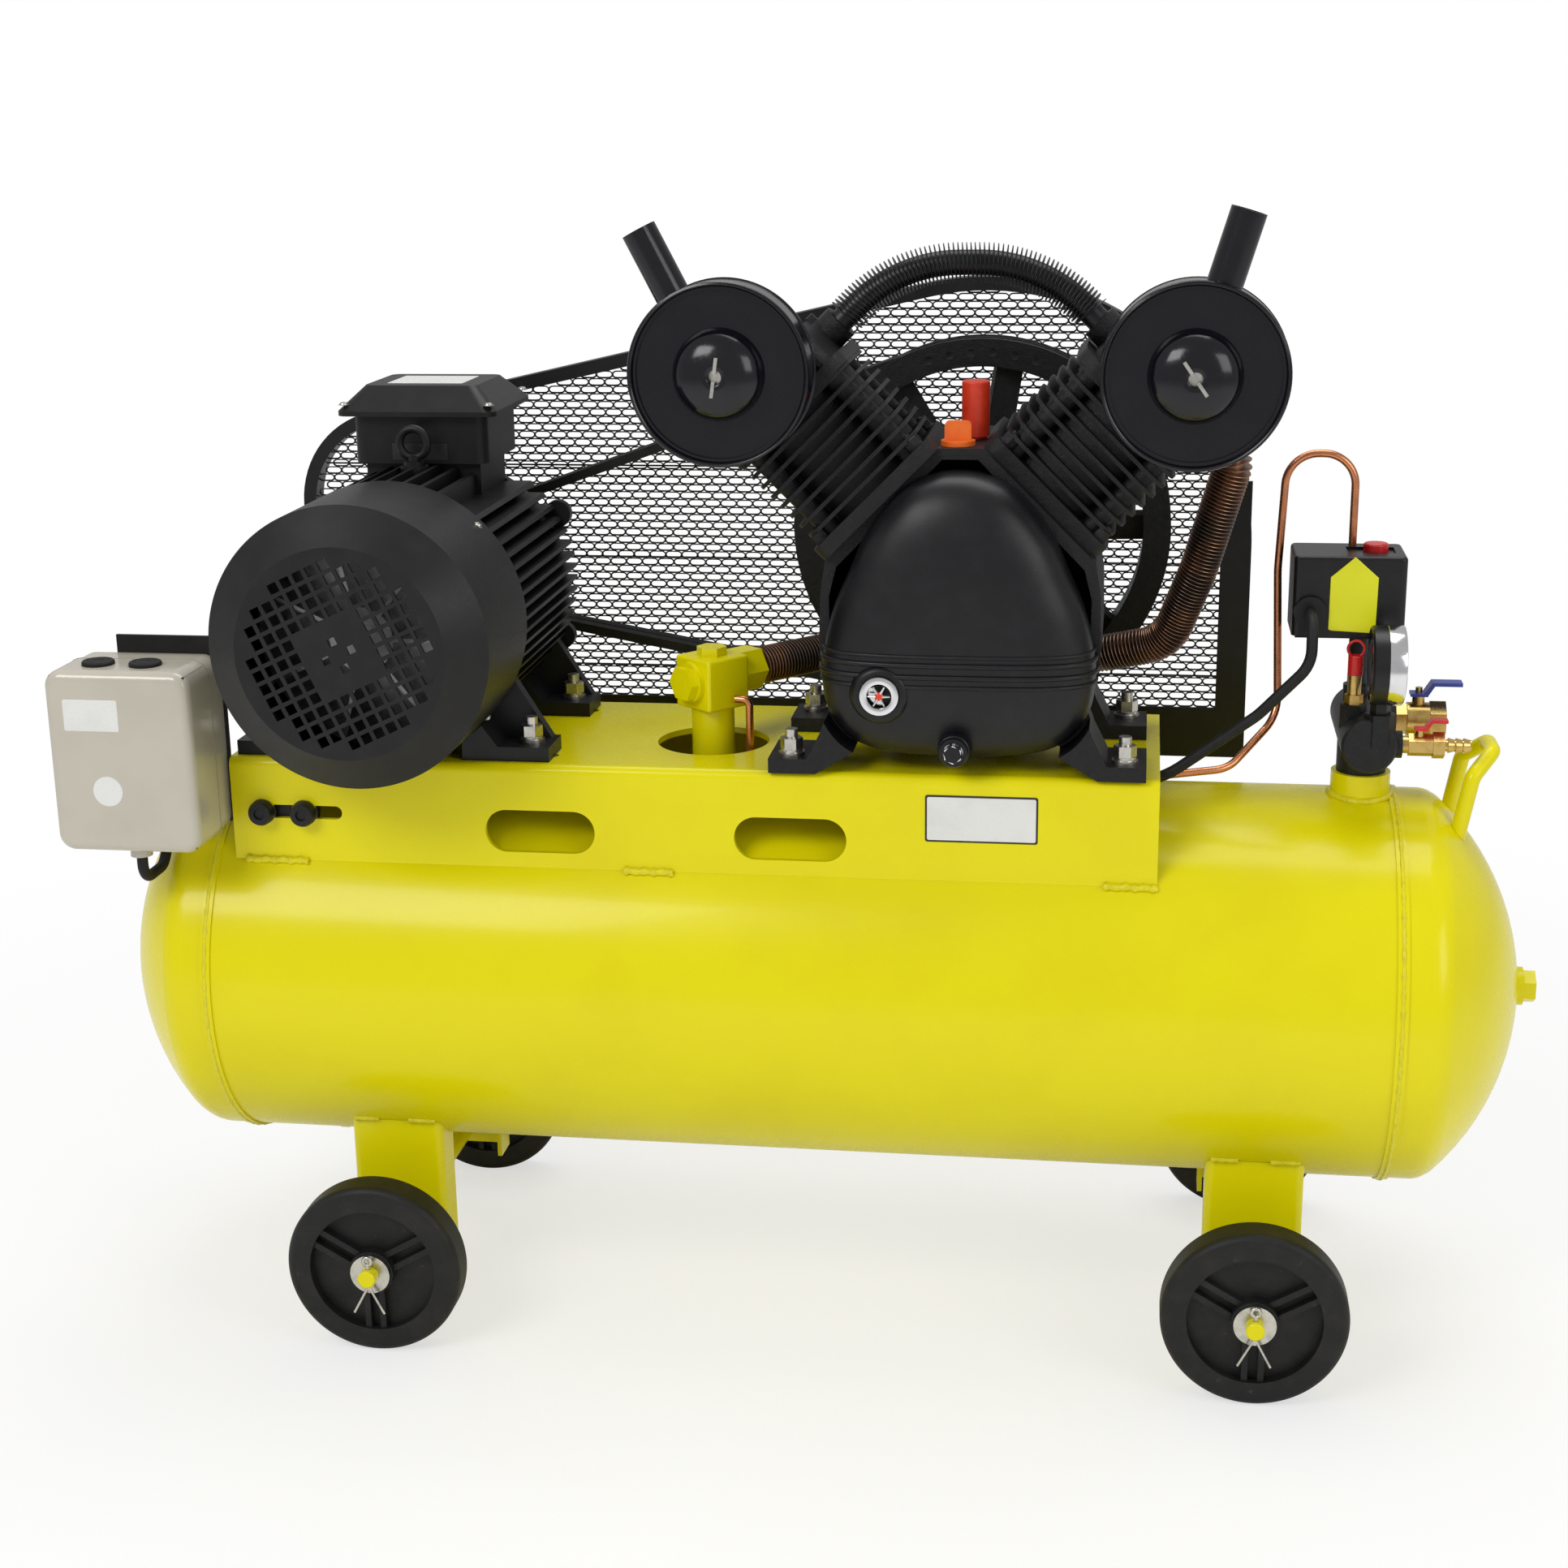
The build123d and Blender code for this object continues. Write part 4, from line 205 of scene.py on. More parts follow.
# ------------------------------------------------------------------ mesh tools
def put(name, verts, faces, material, body=BASE, smooth=False, angle=None):
    me = bpy.data.meshes.new(name)
    me.from_pydata([tuple(v) for v in verts], [], faces)
    me.validate()
    bm = bmesh.new()
    bm.from_mesh(me)
    bmesh.ops.recalc_face_normals(bm, faces=bm.faces)
    bm.to_mesh(me)
    bm.free()
    ob = bpy.data.objects.new(name, me)
    bpy.context.scene.collection.objects.link(ob)
    paint(ob, material)
    if smooth:
        me.polygons.foreach_set("use_smooth", [True] * len(me.polygons))
        me.set_sharp_from_angle(angle=math.radians(angle or 38.0))
    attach(ob, body)
    return ob


def basis(axis):
    z = Vector(axis).normalized()
    x = z.orthogonal().normalized()
    return x, z.cross(x), z


def lathe(centre, axis, profile, sides=32, turn=0.0, store=None):
    """Rings of (radius, distance along axis) in mm, closed at radius 0; returns or extends verts, faces."""
    verts, faces = store if store else ([], [])
    x, y, z = basis(axis)
    c = at(*centre)
    rings = []
    for r, t in profile:
        if r < 1e-6:
            rings.append([len(verts)])
            verts.append(c + z * mm(t))
            continue
        ids = []
        for k in range(sides):
            a = 2.0 * math.pi * k / sides + turn
            ids.append(len(verts))
            verts.append(c + (x * math.cos(a) + y * math.sin(a)) * mm(r) + z * mm(t))
        rings.append(ids)
    for a, b in zip(rings, rings[1:]):
        for k in range(sides):
            n = (k + 1) % sides
            if len(a) == 1 and len(b) > 1:
                faces.append((a[0], b[k], b[n]))
            elif len(b) == 1 and len(a) > 1:
                faces.append((a[k], b[0], a[n]))
            elif len(a) > 1 and len(b) > 1:
                faces.append((a[k], b[k], b[n], a[n]))
    return verts, faces


def sweep(points, radius, sides=8, closed=False, store=None):
    """Round wire along points (Vectors in metres) of radius mm, or a radius for each point."""
    verts, faces = store if store else ([], [])
    n = len(points)
    x = None
    rings = []
    for i, p in enumerate(points):
        a = points[(i - 1) % n] if closed or i else points[0]
        b = points[(i + 1) % n] if closed or i < n - 1 else points[-1]
        t = (b - a).normalized()
        x = t.orthogonal().normalized() if x is None else (x - t * x.dot(t)).normalized()
        y = t.cross(x)
        r = mm(radius[i] if isinstance(radius, (list, tuple)) else radius)
        ids = []
        for k in range(sides):
            ang = 2.0 * math.pi * k / sides
            ids.append(len(verts))
            verts.append(p + (x * math.cos(ang) + y * math.sin(ang)) * r)
        rings.append(ids)
    last = n if closed else n - 1
    for i in range(last):
        a, b = rings[i], rings[(i + 1) % n]
        for k in range(sides):
            m = (k + 1) % sides
            faces.append((a[k], a[m], b[m], b[k]))
    if not closed:
        faces.append(tuple(reversed(rings[0])))
        faces.append(tuple(rings[-1]))
    return verts, faces


def rounded_path(points, radii, step=3.0):
    """Straight runs joined by tangent arcs; returns close points in mm."""
    pts = [Vector(p) for p in points]
    out = [pts[0]]
    for i in range(1, len(pts) - 1):
        a = (pts[i - 1] - pts[i]).normalized()
        b = (pts[i + 1] - pts[i]).normalized()
        r = radii if isinstance(radii, (int, float)) else radii[i - 1]
        half = a.angle(b) / 2.0
        reach = r / math.tan(half)
        centre = pts[i] + (a + b).normalized() * (r / math.sin(half))
        p0, p1 = pts[i] + a * reach - centre, pts[i] + b * reach - centre
        sweep_angle = p0.angle(p1)
        count = max(3, int(r * sweep_angle / step))
        for k in range(count + 1):
            f = k / count
            s = math.sin(sweep_angle)
            out.append(centre + p0 * (math.sin((1 - f) * sweep_angle) / s)
                       + p1 * (math.sin(f * sweep_angle) / s))
    out.append(pts[-1])
    return out


def evenly(points, step):
    out = [points[0].copy()]
    carry = 0.0
    for a, b in zip(points, points[1:]):
        d = (b - a).length
        pos = step - carry
        while pos <= d:
            out.append(a + (b - a) * (pos / d))
            pos += step
        carry = d - (pos - step)
    return out


# ------------------------------------------------------------------ belt guard
GUARD_ARC_R, GUARD_ARC_Z, GUARD_LEFT, GUARD_BOTTOM = 239.0, 626.0, -505.0, 432.0
GUARD_SLOPE, GUARD_NOSE, GUARD_BAND, PUMP_X = math.radians(12.6), 88.0, 12.0, 135.0
CELL_W, CELL_H = 15.0, 6.9


def guard_top(x, shrink):
    r = GUARD_ARC_R - shrink
    tx = PUMP_X - r * math.sin(GUARD_SLOPE)
    tz = GUARD_ARC_Z + r * math.cos(GUARD_SLOPE)
    left = GUARD_LEFT + shrink
    nose = GUARD_NOSE - shrink
    corner_z = tz - (tx - left) * math.tan(GUARD_SLOPE)
    reach = nose * math.tan((math.pi / 2 - GUARD_SLOPE) / 2)
    if x < left or x > PUMP_X + r:
        return -1e9
    if x < left + reach * math.cos(GUARD_SLOPE):
        dx = x - (left + nose)
        line = tz - (tx - x) * math.tan(GUARD_SLOPE)
        return min(line, corner_z - reach + math.sqrt(max(0.0, nose * nose - dx * dx)))
    if x < tx:
        return tz - (tx - x) * math.tan(GUARD_SLOPE)
    dx = x - PUMP_X
    return GUARD_ARC_Z + math.sqrt(max(0.0, r * r - dx * dx))


def peanut(cx, cz, y):
    """Outline of one opening: two lobes with a waist."""
    ring = []
    for k in range(14):
        a = 2.0 * math.pi * k / 14
        w = (CELL_W / 2.0 - 0.15) * math.copysign(abs(math.cos(a)) ** 0.85, math.cos(a))
        h = (CELL_H / 2.0 - 0.1) * math.sin(a) * (0.80 + 0.42 * abs(w) / (CELL_W / 2.0))
        ring.append(at(cx + w, y, cz + h))
    return ring


def wave_guard():
    store = ([], [])
    y = 210.0
    low = GUARD_BOTTOM + 46.0
    rows = int((870.0 - low) / CELL_H)
    for j in range(rows):
        cz = low + (j + 0.5) * CELL_H
        start = GUARD_LEFT + (CELL_W / 2.0 if j % 2 else 0.0)
        for i in range(int(885.0 / CELL_W) + 1):
            cx = start + i * CELL_W
            top = min(guard_top(cx - 5.0, GUARD_BAND - 4.0), guard_top(cx + 5.0, GUARD_BAND - 4.0))
            if cz + 2.0 > top:
                continue
            sweep(peanut(cx, cz, y), 0.80, sides=4, closed=True, store=store)
    for z in (507.0, 610.0, 695.0, 790.0):
        xs = [x for x in range(-500, 374, 6) if guard_top(x, GUARD_BAND) > z]
        if len(xs) > 2:
            sweep([at(xs[0], y + 1.0, z), at(xs[-1], y + 1.0, z)], 0.9, sides=6, store=store)
    return put("guard_wave_mesh", *store, BLACKSHEET)


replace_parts(wave_guard(), "guard_mesh")


# ------------------------------------------------------------------ finned pipes
def bore_point(side, u, v, y):
    d = -1.0 if side == "left" else 1.0
    k = math.sqrt(0.5)
    return (PUMP_X + d * k * (u - v), y, 648.5 + k * (u + v))


def finned(name, points, radii, core, outer, material, pitch=3.4, ends=8.0):
    path = rounded_path(points, radii, 2.0)
    store = sweep([at(*p) for p in path], core, sides=20)
    dots = evenly(path, pitch)
    total = len(dots)
    skip = int(ends / pitch)
    for i in range(skip, total - skip):
        d = (dots[min(i + 1, total - 1)] - dots[max(i - 1, 0)]).normalized()
        lean = basis(d)[0] * 0.10
        prof = [(core - 0.5, -0.75), (outer - 0.25, -0.38), (outer, 0.0), (outer - 0.25, 0.38),
                (core - 0.5, 0.75)]
        lathe(dots[i], d + lean, prof, sides=22, store=store)
    return put(name, *store, material, smooth=True, angle=30)


NECK_U = 186.0 + 26.0
a = bore_point("left", NECK_U, 66.0, 0.0)
d = bore_point("right", NECK_U, 66.0, 0.0)
arch = finned("crossover_fins", [a, (a[0] + 46.0, 0.0, a[2] + 46.0), (d[0] - 46.0, 0.0, d[2] + 46.0), d],
              120.0, 10.0, 16.0, PIPEFIN)
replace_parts(arch, "crossover_pipe")
p0 = bore_point("right", NECK_U, -66.0, 0.0)
VX, VY, VZ, AIM = -76.0, -25.0, 555.0, math.radians(49.5)
dx, dy = math.cos(AIM), math.sin(AIM)
turn_at = (VX + 138.0 * dx, VY + 138.0 * dy, VZ)
down = finned("delivery_fins", [p0, (p0[0] + 17.0, 0.0, p0[2] - 17.0), (p0[0] - 8.0, 30.0, 640.0),
                                (300.0, 58.0, 572.0), (240.0, turn_at[1], VZ), turn_at,
                                (VX + 46.2 * dx, VY + 46.2 * dy, VZ)],
              [14.0, 60.0, 40.0, 50.0, 34.0], 10.0, 16.0, PIPEWARM)
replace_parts(down, "delivery_pipe")

# ------------------------------------------------------------------ welds on the vessel
def bead(name, points, radius, wander, closed=False):
    """Weld bead with overlapping ripples."""
    sizes = [radius + wander * (0.5 + 0.5 * math.sin(i * 1.9)) * (1.0 if i % 2 else 0.6)
             for i in range(len(points))]
    return put(name, *sweep(points, sizes, sides=8, closed=closed), WELD, smooth=True, angle=60)


TANK_Z, TANK_R, PLATE_FACE = 296.5, 164.0, -117.5
for seam in (-487.0, 487.0):
    loop = []
    for k in range(220):
        ang = 2.0 * math.pi * k / 220
        loop.append(at(seam, (TANK_R + 0.6) * math.cos(ang), TANK_Z + (TANK_R + 0.6) * math.sin(ang)))
    bead("head_seam_%s" % ("left" if seam < 0 else "right"), loop, 1.6, 0.9, closed=True)


def stitch(name, x0, x1, y):
    z = TANK_Z + math.sqrt(TANK_R ** 2 - y ** 2)
    n = int((x1 - x0) / 2.2)
    bead(name, [at(x0 + (x1 - x0) * i / n, y * 1.012, z + 0.4 * math.sin(i)) for i in range(n + 1)], 2.6, 1.6)


for i, (x0, x1) in enumerate(((-459.0, -405.0), (-136.0, -95.0), (254.0, 297.0))):
    stitch("flange_weld_front_%d" % i, x0, x1, PLATE_FACE)
    stitch("flange_weld_back_%d" % i, x0, x1, 104.0)
for i, lx in enumerate((-347.0, 382.5)):
    for s in (-1, 1):
        y = s * 111.5
        z = TANK_Z - math.sqrt(TANK_R ** 2 - 111.5 ** 2)
        for j, (u0, u1) in enumerate(((-36.0, -14.0), (12.0, 36.0))):
            pts = [at(lx + u0 + (u1 - u0) * t / 10.0, y, z + 0.5) for t in range(11)]
            bead("leg_weld_%d_%s_%d" % (i, "f" if s < 0 else "b", j), pts, 2.4, 1.4)
collar = [at(460.0 + 24.4 * math.cos(k * 0.21), 24.4 * math.sin(k * 0.21), 0.0) for k in range(30)]
for p in collar:
    p.z = mm(TANK_Z + math.sqrt(TANK_R ** 2 - (p.y * 1000.0 + 3.0) ** 2) + 1.0)
bead("riser_weld", collar, 2.6, 1.4, closed=True)


# ------------------------------------------------------------------ fasteners
def hex_bolt(store, centre, axis, across, tall, washer=True, stud=0.0):
    base_t = 0.0
    if washer:
        lathe(centre, axis, [(0.0, 0.0), (across * 0.60, 0.0), (across * 0.62, 0.3), (across * 0.62, 1.2),
                             (across * 0.60, 1.5), (0.0, 1.5)], sides=24, store=store)
        base_t = 1.5
    r = across / 2.0 / math.cos(math.pi / 6.0)
    lathe(centre, axis, [(0.0, base_t), (r, base_t), (r, base_t + tall - 0.9), (r * 0.88, base_t + tall),
                         (0.0, base_t + tall)], sides=6, store=store)
    if stud:
        lathe(centre, axis, [(0.0, base_t + tall), (across * 0.28, base_t + tall),
                             (across * 0.28, base_t + tall + stud - 0.8),
                             (across * 0.22, base_t + tall + stud), (0.0, base_t + tall + stud)], sides=18,
              store=store)


def pan_head(store, centre, axis, r):
    lathe(centre, axis, [(r * 1.25, 0.0), (r * 1.25, 0.5), (r, 0.6), (r * 0.96, r * 0.35),
                         (r * 0.75, r * 0.62),
                         (r * 0.30, r * 0.72), (r * 0.26, r * 0.40), (0.0, r * 0.38)], sides=20, store=store)


K = math.sqrt(0.5)
CYL_Y = {"left": -38.0, "right": -12.0}
iron_bolts = ([], [])
for side, sgn in (("left", -1.0), ("right", 1.0)):
    up_axis = (sgn * K, 0.0, K)
    for v in (-46.0, 46.0):
        for yo in (-46.0, 46.0):
            top = bore_point(side, 186.0 + 39.6, v, CYL_Y[side] + yo)
            hex_bolt(iron_bolts, top, up_axis, 12.0, 7.0)
            low = bore_point(side, 88.0 + 12.0, v * 1.13, CYL_Y[side] + yo * 1.13)
            hex_bolt(iron_bolts, low, up_axis, 11.0, 7.0, stud=4.0)
put("pump_cap_bolts", *iron_bolts, CAST, smooth=True, angle=25)

screws = ([], [])
MX, MZ = -331.5, 612.0
for sx in (-63.0, 63.0):
    for y in (13.0, 127.0):
        pan_head(screws, (MX + sx, y, 774.0), (0, 0, 1), 3.6)
for k in range(4):
    ang = math.radians(45.0 + 90.0 * k)
    out_dir = (math.cos(ang), 0.0, math.sin(ang))
    pan_head(screws, (MX + 112.9 * math.cos(ang), -96.0, MZ + 112.9 * math.sin(ang)), out_dir, 3.0)
put("motor_screws", *screws, ZINC, smooth=True, angle=30)

flange_bolts = ([], [])
for x in (-442.0, -406.0):
    lathe((x, PLATE_FACE, 453.0), (0, -1, 0), [(11.0, 0.2), (10.6, 8.0), (9.2, 11.2), (4.6, 11.6), (4.2, 9.6),
                                               (0.0, 9.5)], sides=40, store=flange_bolts)
put("bracket_bolts", *flange_bolts, BLACKSHEET, smooth=True, angle=25)

# ------------------------------------------------------------------ filters
for side, cx, cz in (("left", -41.6, 819.7), ("right", 311.8, 819.2)):
    rim = ([], [])
    lathe((cx, -166.0, cz), (0, -1, 0), [(66.4, -3.0), (68.9, -2.0), (69.4, -0.8), (68.9, 0.4), (67.4, 0.9),
                                         (66.0, 0.2), (65.4, -1.4), (66.4, -3.0)], sides=96, store=rim)
    lathe((cx, -166.0, cz), (0, -1, 0), [(68.8, -37.0), (69.9, -36.0), (69.9, -34.2), (68.8, -33.2)],
          sides=96,
          store=rim)
    put("filter_rim_" + side, *rim, GLOSS, smooth=True, angle=45)
    dome = ([], [])
    lathe((cx, -166.0, cz), (0, -1, 0), [(35.0, -3.9), (34.2, 0.0), (33.0, 3.2), (30.0, 7.2), (25.0, 11.0),
                                         (18.0, 13.8), (10.0, 15.2), (6.2, 15.6), (5.4, 14.8)], sides=72,
                                         store=dome)
    put("filter_dome_" + side, *dome, GLOSS, smooth=True, angle=60)


# ------------------------------------------------------------------ plates and tags
def flat_plate(name, corners, y, thick, material):
    """Thin plate facing the front with a softened edge, from corners (x, z) in mm."""
    n = len(corners)
    cx = sum(c[0] for c in corners) / n
    cz = sum(c[1] for c in corners) / n
    verts, faces = [], []
    for inset, dy in ((0.0, 0.0), (0.0, -thick * 0.6), (0.5, -thick)):
        for x, z in corners:
            d = math.hypot(x - cx, z - cz)
            f = (d - inset) / d
            verts.append(at(cx + (x - cx) * f, y + dy, cz + (z - cz) * f))
    for k in range(2):
        for i in range(n):
            j = (i + 1) % n
            faces.append((k * n + i, k * n + j, (k + 1) * n + j, (k + 1) * n + i))
    faces.append(tuple(range(2 * n, 3 * n)))
    faces.append(tuple(reversed(range(n))))
    return put(name, verts, faces, material)


def rounded(x0, x1, z0, z1, r):
    out = []
    for cx, cz, a0 in ((x1 - r, z1 - r, 0), (x0 + r, z1 - r, 90), (x0 + r, z0 + r, 180),
                       (x1 - r, z0 + r, 270)):
        for k in range(5):
            a = math.radians(a0 + 22.5 * k)
            out.append((cx + r * math.cos(a), cz + r * math.sin(a)))
    return out


PLATE_PAINT = finish("blank_label", (0.72, 0.72, 0.70), (0.66, 0.66, 0.64), 0.30, scale=40.0, fine=600.0,
                     bump=0.05)
BORDER = finish("label_border", (0.015, 0.015, 0.015), (0.02, 0.02, 0.02), 0.35, scale=60.0, fine=600.0,
                bump=0.05)
TAG = finish("tag_yellow", (0.78, 0.78, 0.006), (0.74, 0.73, 0.006), 0.35, scale=30.0, fine=600.0, bump=0.04)
flat_plate("rating_place_edge", rounded(111.0, 201.0, 444.0, 483.0, 2.0), PLATE_FACE - 0.02, 0.5, BORDER)
flat_plate("rating_place", rounded(112.6, 199.4, 445.6, 481.4, 1.5), PLATE_FACE - 0.4, 0.4, PLATE_PAINT)
flat_plate("switch_tag", [(426.7, 602.0), (426.9, 644.5), (445.6, 661.0), (464.4, 644.5), (463.8, 600.5),
                          (461.0, 599.4), (429.0, 601.0)], -18.05, 0.9, TAG)
flat_plate("terminal_label_place", rounded(MX - 24.0, MX + 24.0, 727.0, 741.0, 1.0), 17.95, 0.3, BORDER)

# ------------------------------------------------------------------ gauge dial marks
marks = ([], [])
GX, GY, GZ = 460.0 - 2.0, -52.0, 581.0
lo_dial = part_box("gauge_dial")[0]
face_x = lo_dial.x * 1000.0 + 8.0 - 0.12
for k in range(41):
    ang = math.radians(-135.0 + 270.0 * k / 40.0)
    long_mark = k % 5 == 0
    r1, r0 = 25.0, 20.5 if long_mark else 22.8
    cosa, sina = math.cos(ang + math.pi / 2.0), math.sin(ang + math.pi / 2.0)
    sweep([at(face_x, GY + r0 * cosa, GZ + r0 * sina), at(face_x, GY + r1 * cosa, GZ + r1 * sina)],
          0.42 if long_mark else 0.25, sides=6, store=marks)
arc = [at(face_x, GY + 25.0 * math.cos(math.radians(-45.0 + 270.0 * k / 60.0)),
          GZ + 25.0 * math.sin(math.radians(-45.0 + 270.0 * k / 60.0))) for k in range(61)]
sweep(arc, 0.3, sides=6, store=marks)
put("gauge_marks", *marks, INK)
chrome_band = ([], [])
lathe((GX + 12.5, GY, GZ), (1, 0, 0), [(31.4, 0.0), (31.9, 0.4), (31.9, 11.8), (31.2, 13.2), (29.0, 13.8),
                                       (0.0, 13.8)], sides=80, store=chrome_band)
put("gauge_back_band", *chrome_band, CHROME, smooth=True, angle=35)

# ------------------------------------------------------------------ oil glass
glass_ring = ([], [])
OX, OZ, OF = PUMP_X - 58.6, 648.5 - 80.5, -136.0 - 3.0
lathe((OX, OF, OZ), (0, -1, 0), [(9.6, -1.0), (10.0, 0.6), (12.6, 1.1), (15.2, 0.5), (15.7, -0.6),
                                 (15.7, -3.0)],
      sides=64, store=glass_ring)
put("oil_glass_ring", *glass_ring, CHROME, smooth=True, angle=35)
star = ([], [])
for k in range(6):
    ang = k * math.pi / 3.0
    sweep([at(OX + 2.0 * math.cos(ang), OF - 0.1, OZ + 2.0 * math.sin(ang)),
           at(OX + 8.8 * math.cos(ang), OF - 0.1, OZ + 8.8 * math.sin(ang))], [1.3, 0.7], sides=8, store=star)
put("oil_glass_star", *star, ALLOY, smooth=True, angle=40)
centre = ([], [])
lathe((OX, OF, OZ), (0, -1, 0), [(3.6, -0.4), (3.4, 0.7), (2.2, 1.5), (0.0, 1.9)], sides=24, store=centre)
put("oil_glass_centre", *centre, RED, smooth=True, angle=50)

# ------------------------------------------------------------------ crankcase cover
CRANK_Z = 648.5
COVER_Z = CRANK_Z - 30.0
JOINT_Y, COVER_DEPTH = -88.0, 48.0
COVER_FRONT = JOINT_Y - COVER_DEPTH
DRAIN_Z = CRANK_Z - 124.0
HALF = [(0.0, -138.0), (54.0, -135.0), (86.0, -124.0), (104.0, -100.0), (109.0, -72.0), (107.0, -50.0),
        (99.0, -18.0), (87.0, 10.0), (74.0, 39.0), (57.0, 63.0), (39.0, 79.5), (18.0, 88.0), (0.0, 90.0)]


def smooth_loop(points, per=7):
    """Closed curve through the points."""
    n = len(points)
    out = []
    for i in range(n):
        p0, p1, p2, p3 = (Vector(points[(i + k - 1) % n]) for k in range(4))
        for j in range(per):
            t = j / per
            out.append(0.5 * (2 * p1 + (p2 - p0) * t + (2 * p0 - 5 * p1 + 4 * p2 - p3) * t * t
                              + (3 * p1 - p0 - 3 * p2 + p3) * t ** 3))
    return out


outline = smooth_loop(HALF + [(-x, z) for x, z in reversed(HALF[1:-1])])
PILLOW = 3.1


def pillow(a):
    """Scale of the outline and share of the depth at angle a, 0 at the joint face."""
    return math.cos(a) ** (2.0 / PILLOW), math.sin(a) ** (2.0 / PILLOW)


def half_width(z):
    best = 0.0
    n = len(outline)
    for i in range(n):
        p, q = outline[i], outline[(i + 1) % n]
        if (p.y - z) * (q.y - z) <= 0.0 and abs(p.y - q.y) > 1e-6:
            best = max(best, p.x + (q.x - p.x) * (z - p.y) / (q.y - p.y))
    return best


verts, faces = [], []
steps = [math.radians(90.0 * k / 26.0) for k in range(26)]
n = len(outline)
lift = COVER_Z - CRANK_Z
for y_extra in (3.0, 0.0):
    for p in outline:
        verts.append(at(PUMP_X + p.x, JOINT_Y + y_extra, CRANK_Z + p.y))
for a in steps[1:]:
    sc, dp = pillow(a)
    for p in outline:
        verts.append(at(PUMP_X + p.x * sc, JOINT_Y - COVER_DEPTH * dp, COVER_Z + (p.y - lift) * sc))
verts.append(at(PUMP_X, COVER_FRONT, COVER_Z))
rows = len(steps) + 1
for r in range(rows - 1):
    for i in range(n):
        j = (i + 1) % n
        faces.append((r * n + i, r * n + j, (r + 1) * n + j, (r + 1) * n + i))
for i in range(n):
    faces.append(((rows - 1) * n + i, (rows - 1) * n + (i + 1) % n, len(verts) - 1))
cover = put("pump_cover", verts, faces, SMOOTHCAST, smooth=True, angle=60)
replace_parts(cover, "crank_cover")

ribs = ([], [])
for level, thick in ((-49.0, 1.5), (-56.0, 2.2), (-65.5, 2.2), (-73.5, 1.7)):
    side_points = []
    for k in range(60):
        a = math.radians(90.0 * k / 60.0)
        sc, dp = pillow(a)
        z = (level - lift) / sc + lift
        w = half_width(z) * sc
        if w < 2.0:
            break
        side_points.append((w, JOINT_Y - COVER_DEPTH * dp))
    path = [at(PUMP_X - w, y, CRANK_Z + level) for w, y in side_points]
    path += [at(PUMP_X + w, y, CRANK_Z + level) for w, y in reversed(side_points)]
    sweep(path, thick, sides=10, store=ribs)
put("pump_cover_ribs", *ribs, SMOOTHCAST, smooth=True, angle=60)

bosses = ([], [])
lathe((OX, COVER_FRONT, OZ), (0, -1, 0), [(27.0, -16.0), (24.5, -8.0), (22.8, -3.0), (21.2, -0.6),
                                          (19.0, 0.6),
                                     (16.2, 0.7), (15.4, -0.6), (15.2, -6.0)], sides=64, store=bosses)
lathe((PUMP_X, COVER_FRONT, DRAIN_Z), (0, -1, 0),
      [(17.0, -34.0), (14.0, -16.0), (13.0, -2.0), (12.4, 0.4), (11.6, 1.0), (11.6, 5.4), (11.0, 6.3),
       (7.9, 6.4)],
      sides=48, store=bosses)
lathe((PUMP_X, COVER_FRONT, DRAIN_Z), (0, -1, 0), [(7.9, 6.2), (7.9, 11.4), (6.8, 12.4), (0.0, 12.6)],
      sides=6,
      store=bosses)
put("pump_cover_bosses", *bosses, SMOOTHCAST, smooth=True, angle=35)

# ------------------------------------------------------------------ flywheel dimples
dimples = ([], [])
for k in range(6):
    ang = math.radians(90.0 - 17.5 + 7.0 * k)
    lathe((PUMP_X + 155.0 * math.cos(ang), 160.0, CRANK_Z + 155.0 * math.sin(ang)), (0, -1, 0),
          [(4.6, -0.2), (4.4, 0.35), (3.9, 0.45), (3.2, 0.1), (0.0, 0.02)], sides=20, store=dimples)
put("flywheel_dimples", *dimples, CAST, "crank", smooth=True, angle=50)

# ------------------------------------------------------------------ starter box
grommets = ([], [])
for x in (-556.0, -516.0):
    lathe((x, -159.5, 586.0), (0, 0, 1), [(13.2, 0.0), (13.2, 2.2), (12.2, 3.3), (9.4, 3.4), (8.6, 2.75),
                                          (7.6, 3.3), (5.6, 3.3), (4.8, 2.7), (0.0, 2.65)], sides=44,
                                          store=grommets)
put("starter_grommets", *grommets, RUBBER, smooth=True, angle=40)
SEAMLINE = finish("starter_joint_line", (0.30, 0.27, 0.20), (0.22, 0.20, 0.15), 0.5, scale=90.0, fine=700.0)
corner, loop = 14.0, []
for cx, cz, a0 in ((-471.0 - corner, 586.0 - corner, 0), (-593.0 + corner, 586.0 - corner, 90),
                   (-593.0 + corner, 435.0 + corner, 180), (-471.0 - corner, 435.0 + corner, 270)):
    for k in range(7):
        ang = math.radians(a0 + 15.0 * k)
        loop.append(at(cx + corner * math.cos(ang), -140.0, cz + corner * math.sin(ang)))
put("starter_joint", *sweep(loop, 0.45, sides=6, closed=True), SEAMLINE, smooth=True, angle=70)
flat_plate("starter_label_place", rounded(-577.0, -531.0, 537.0, 563.0, 1.5), -187.48, 0.3, PLATE_PAINT)
flat_plate("starter_round_place", [(-545.0 + 12.5 * math.cos(k * math.pi / 18), 487.0 + 12.5 * math.sin(
    k * math.pi / 18)) for k in range(36)], -187.48, 0.3, PLATE_PAINT)


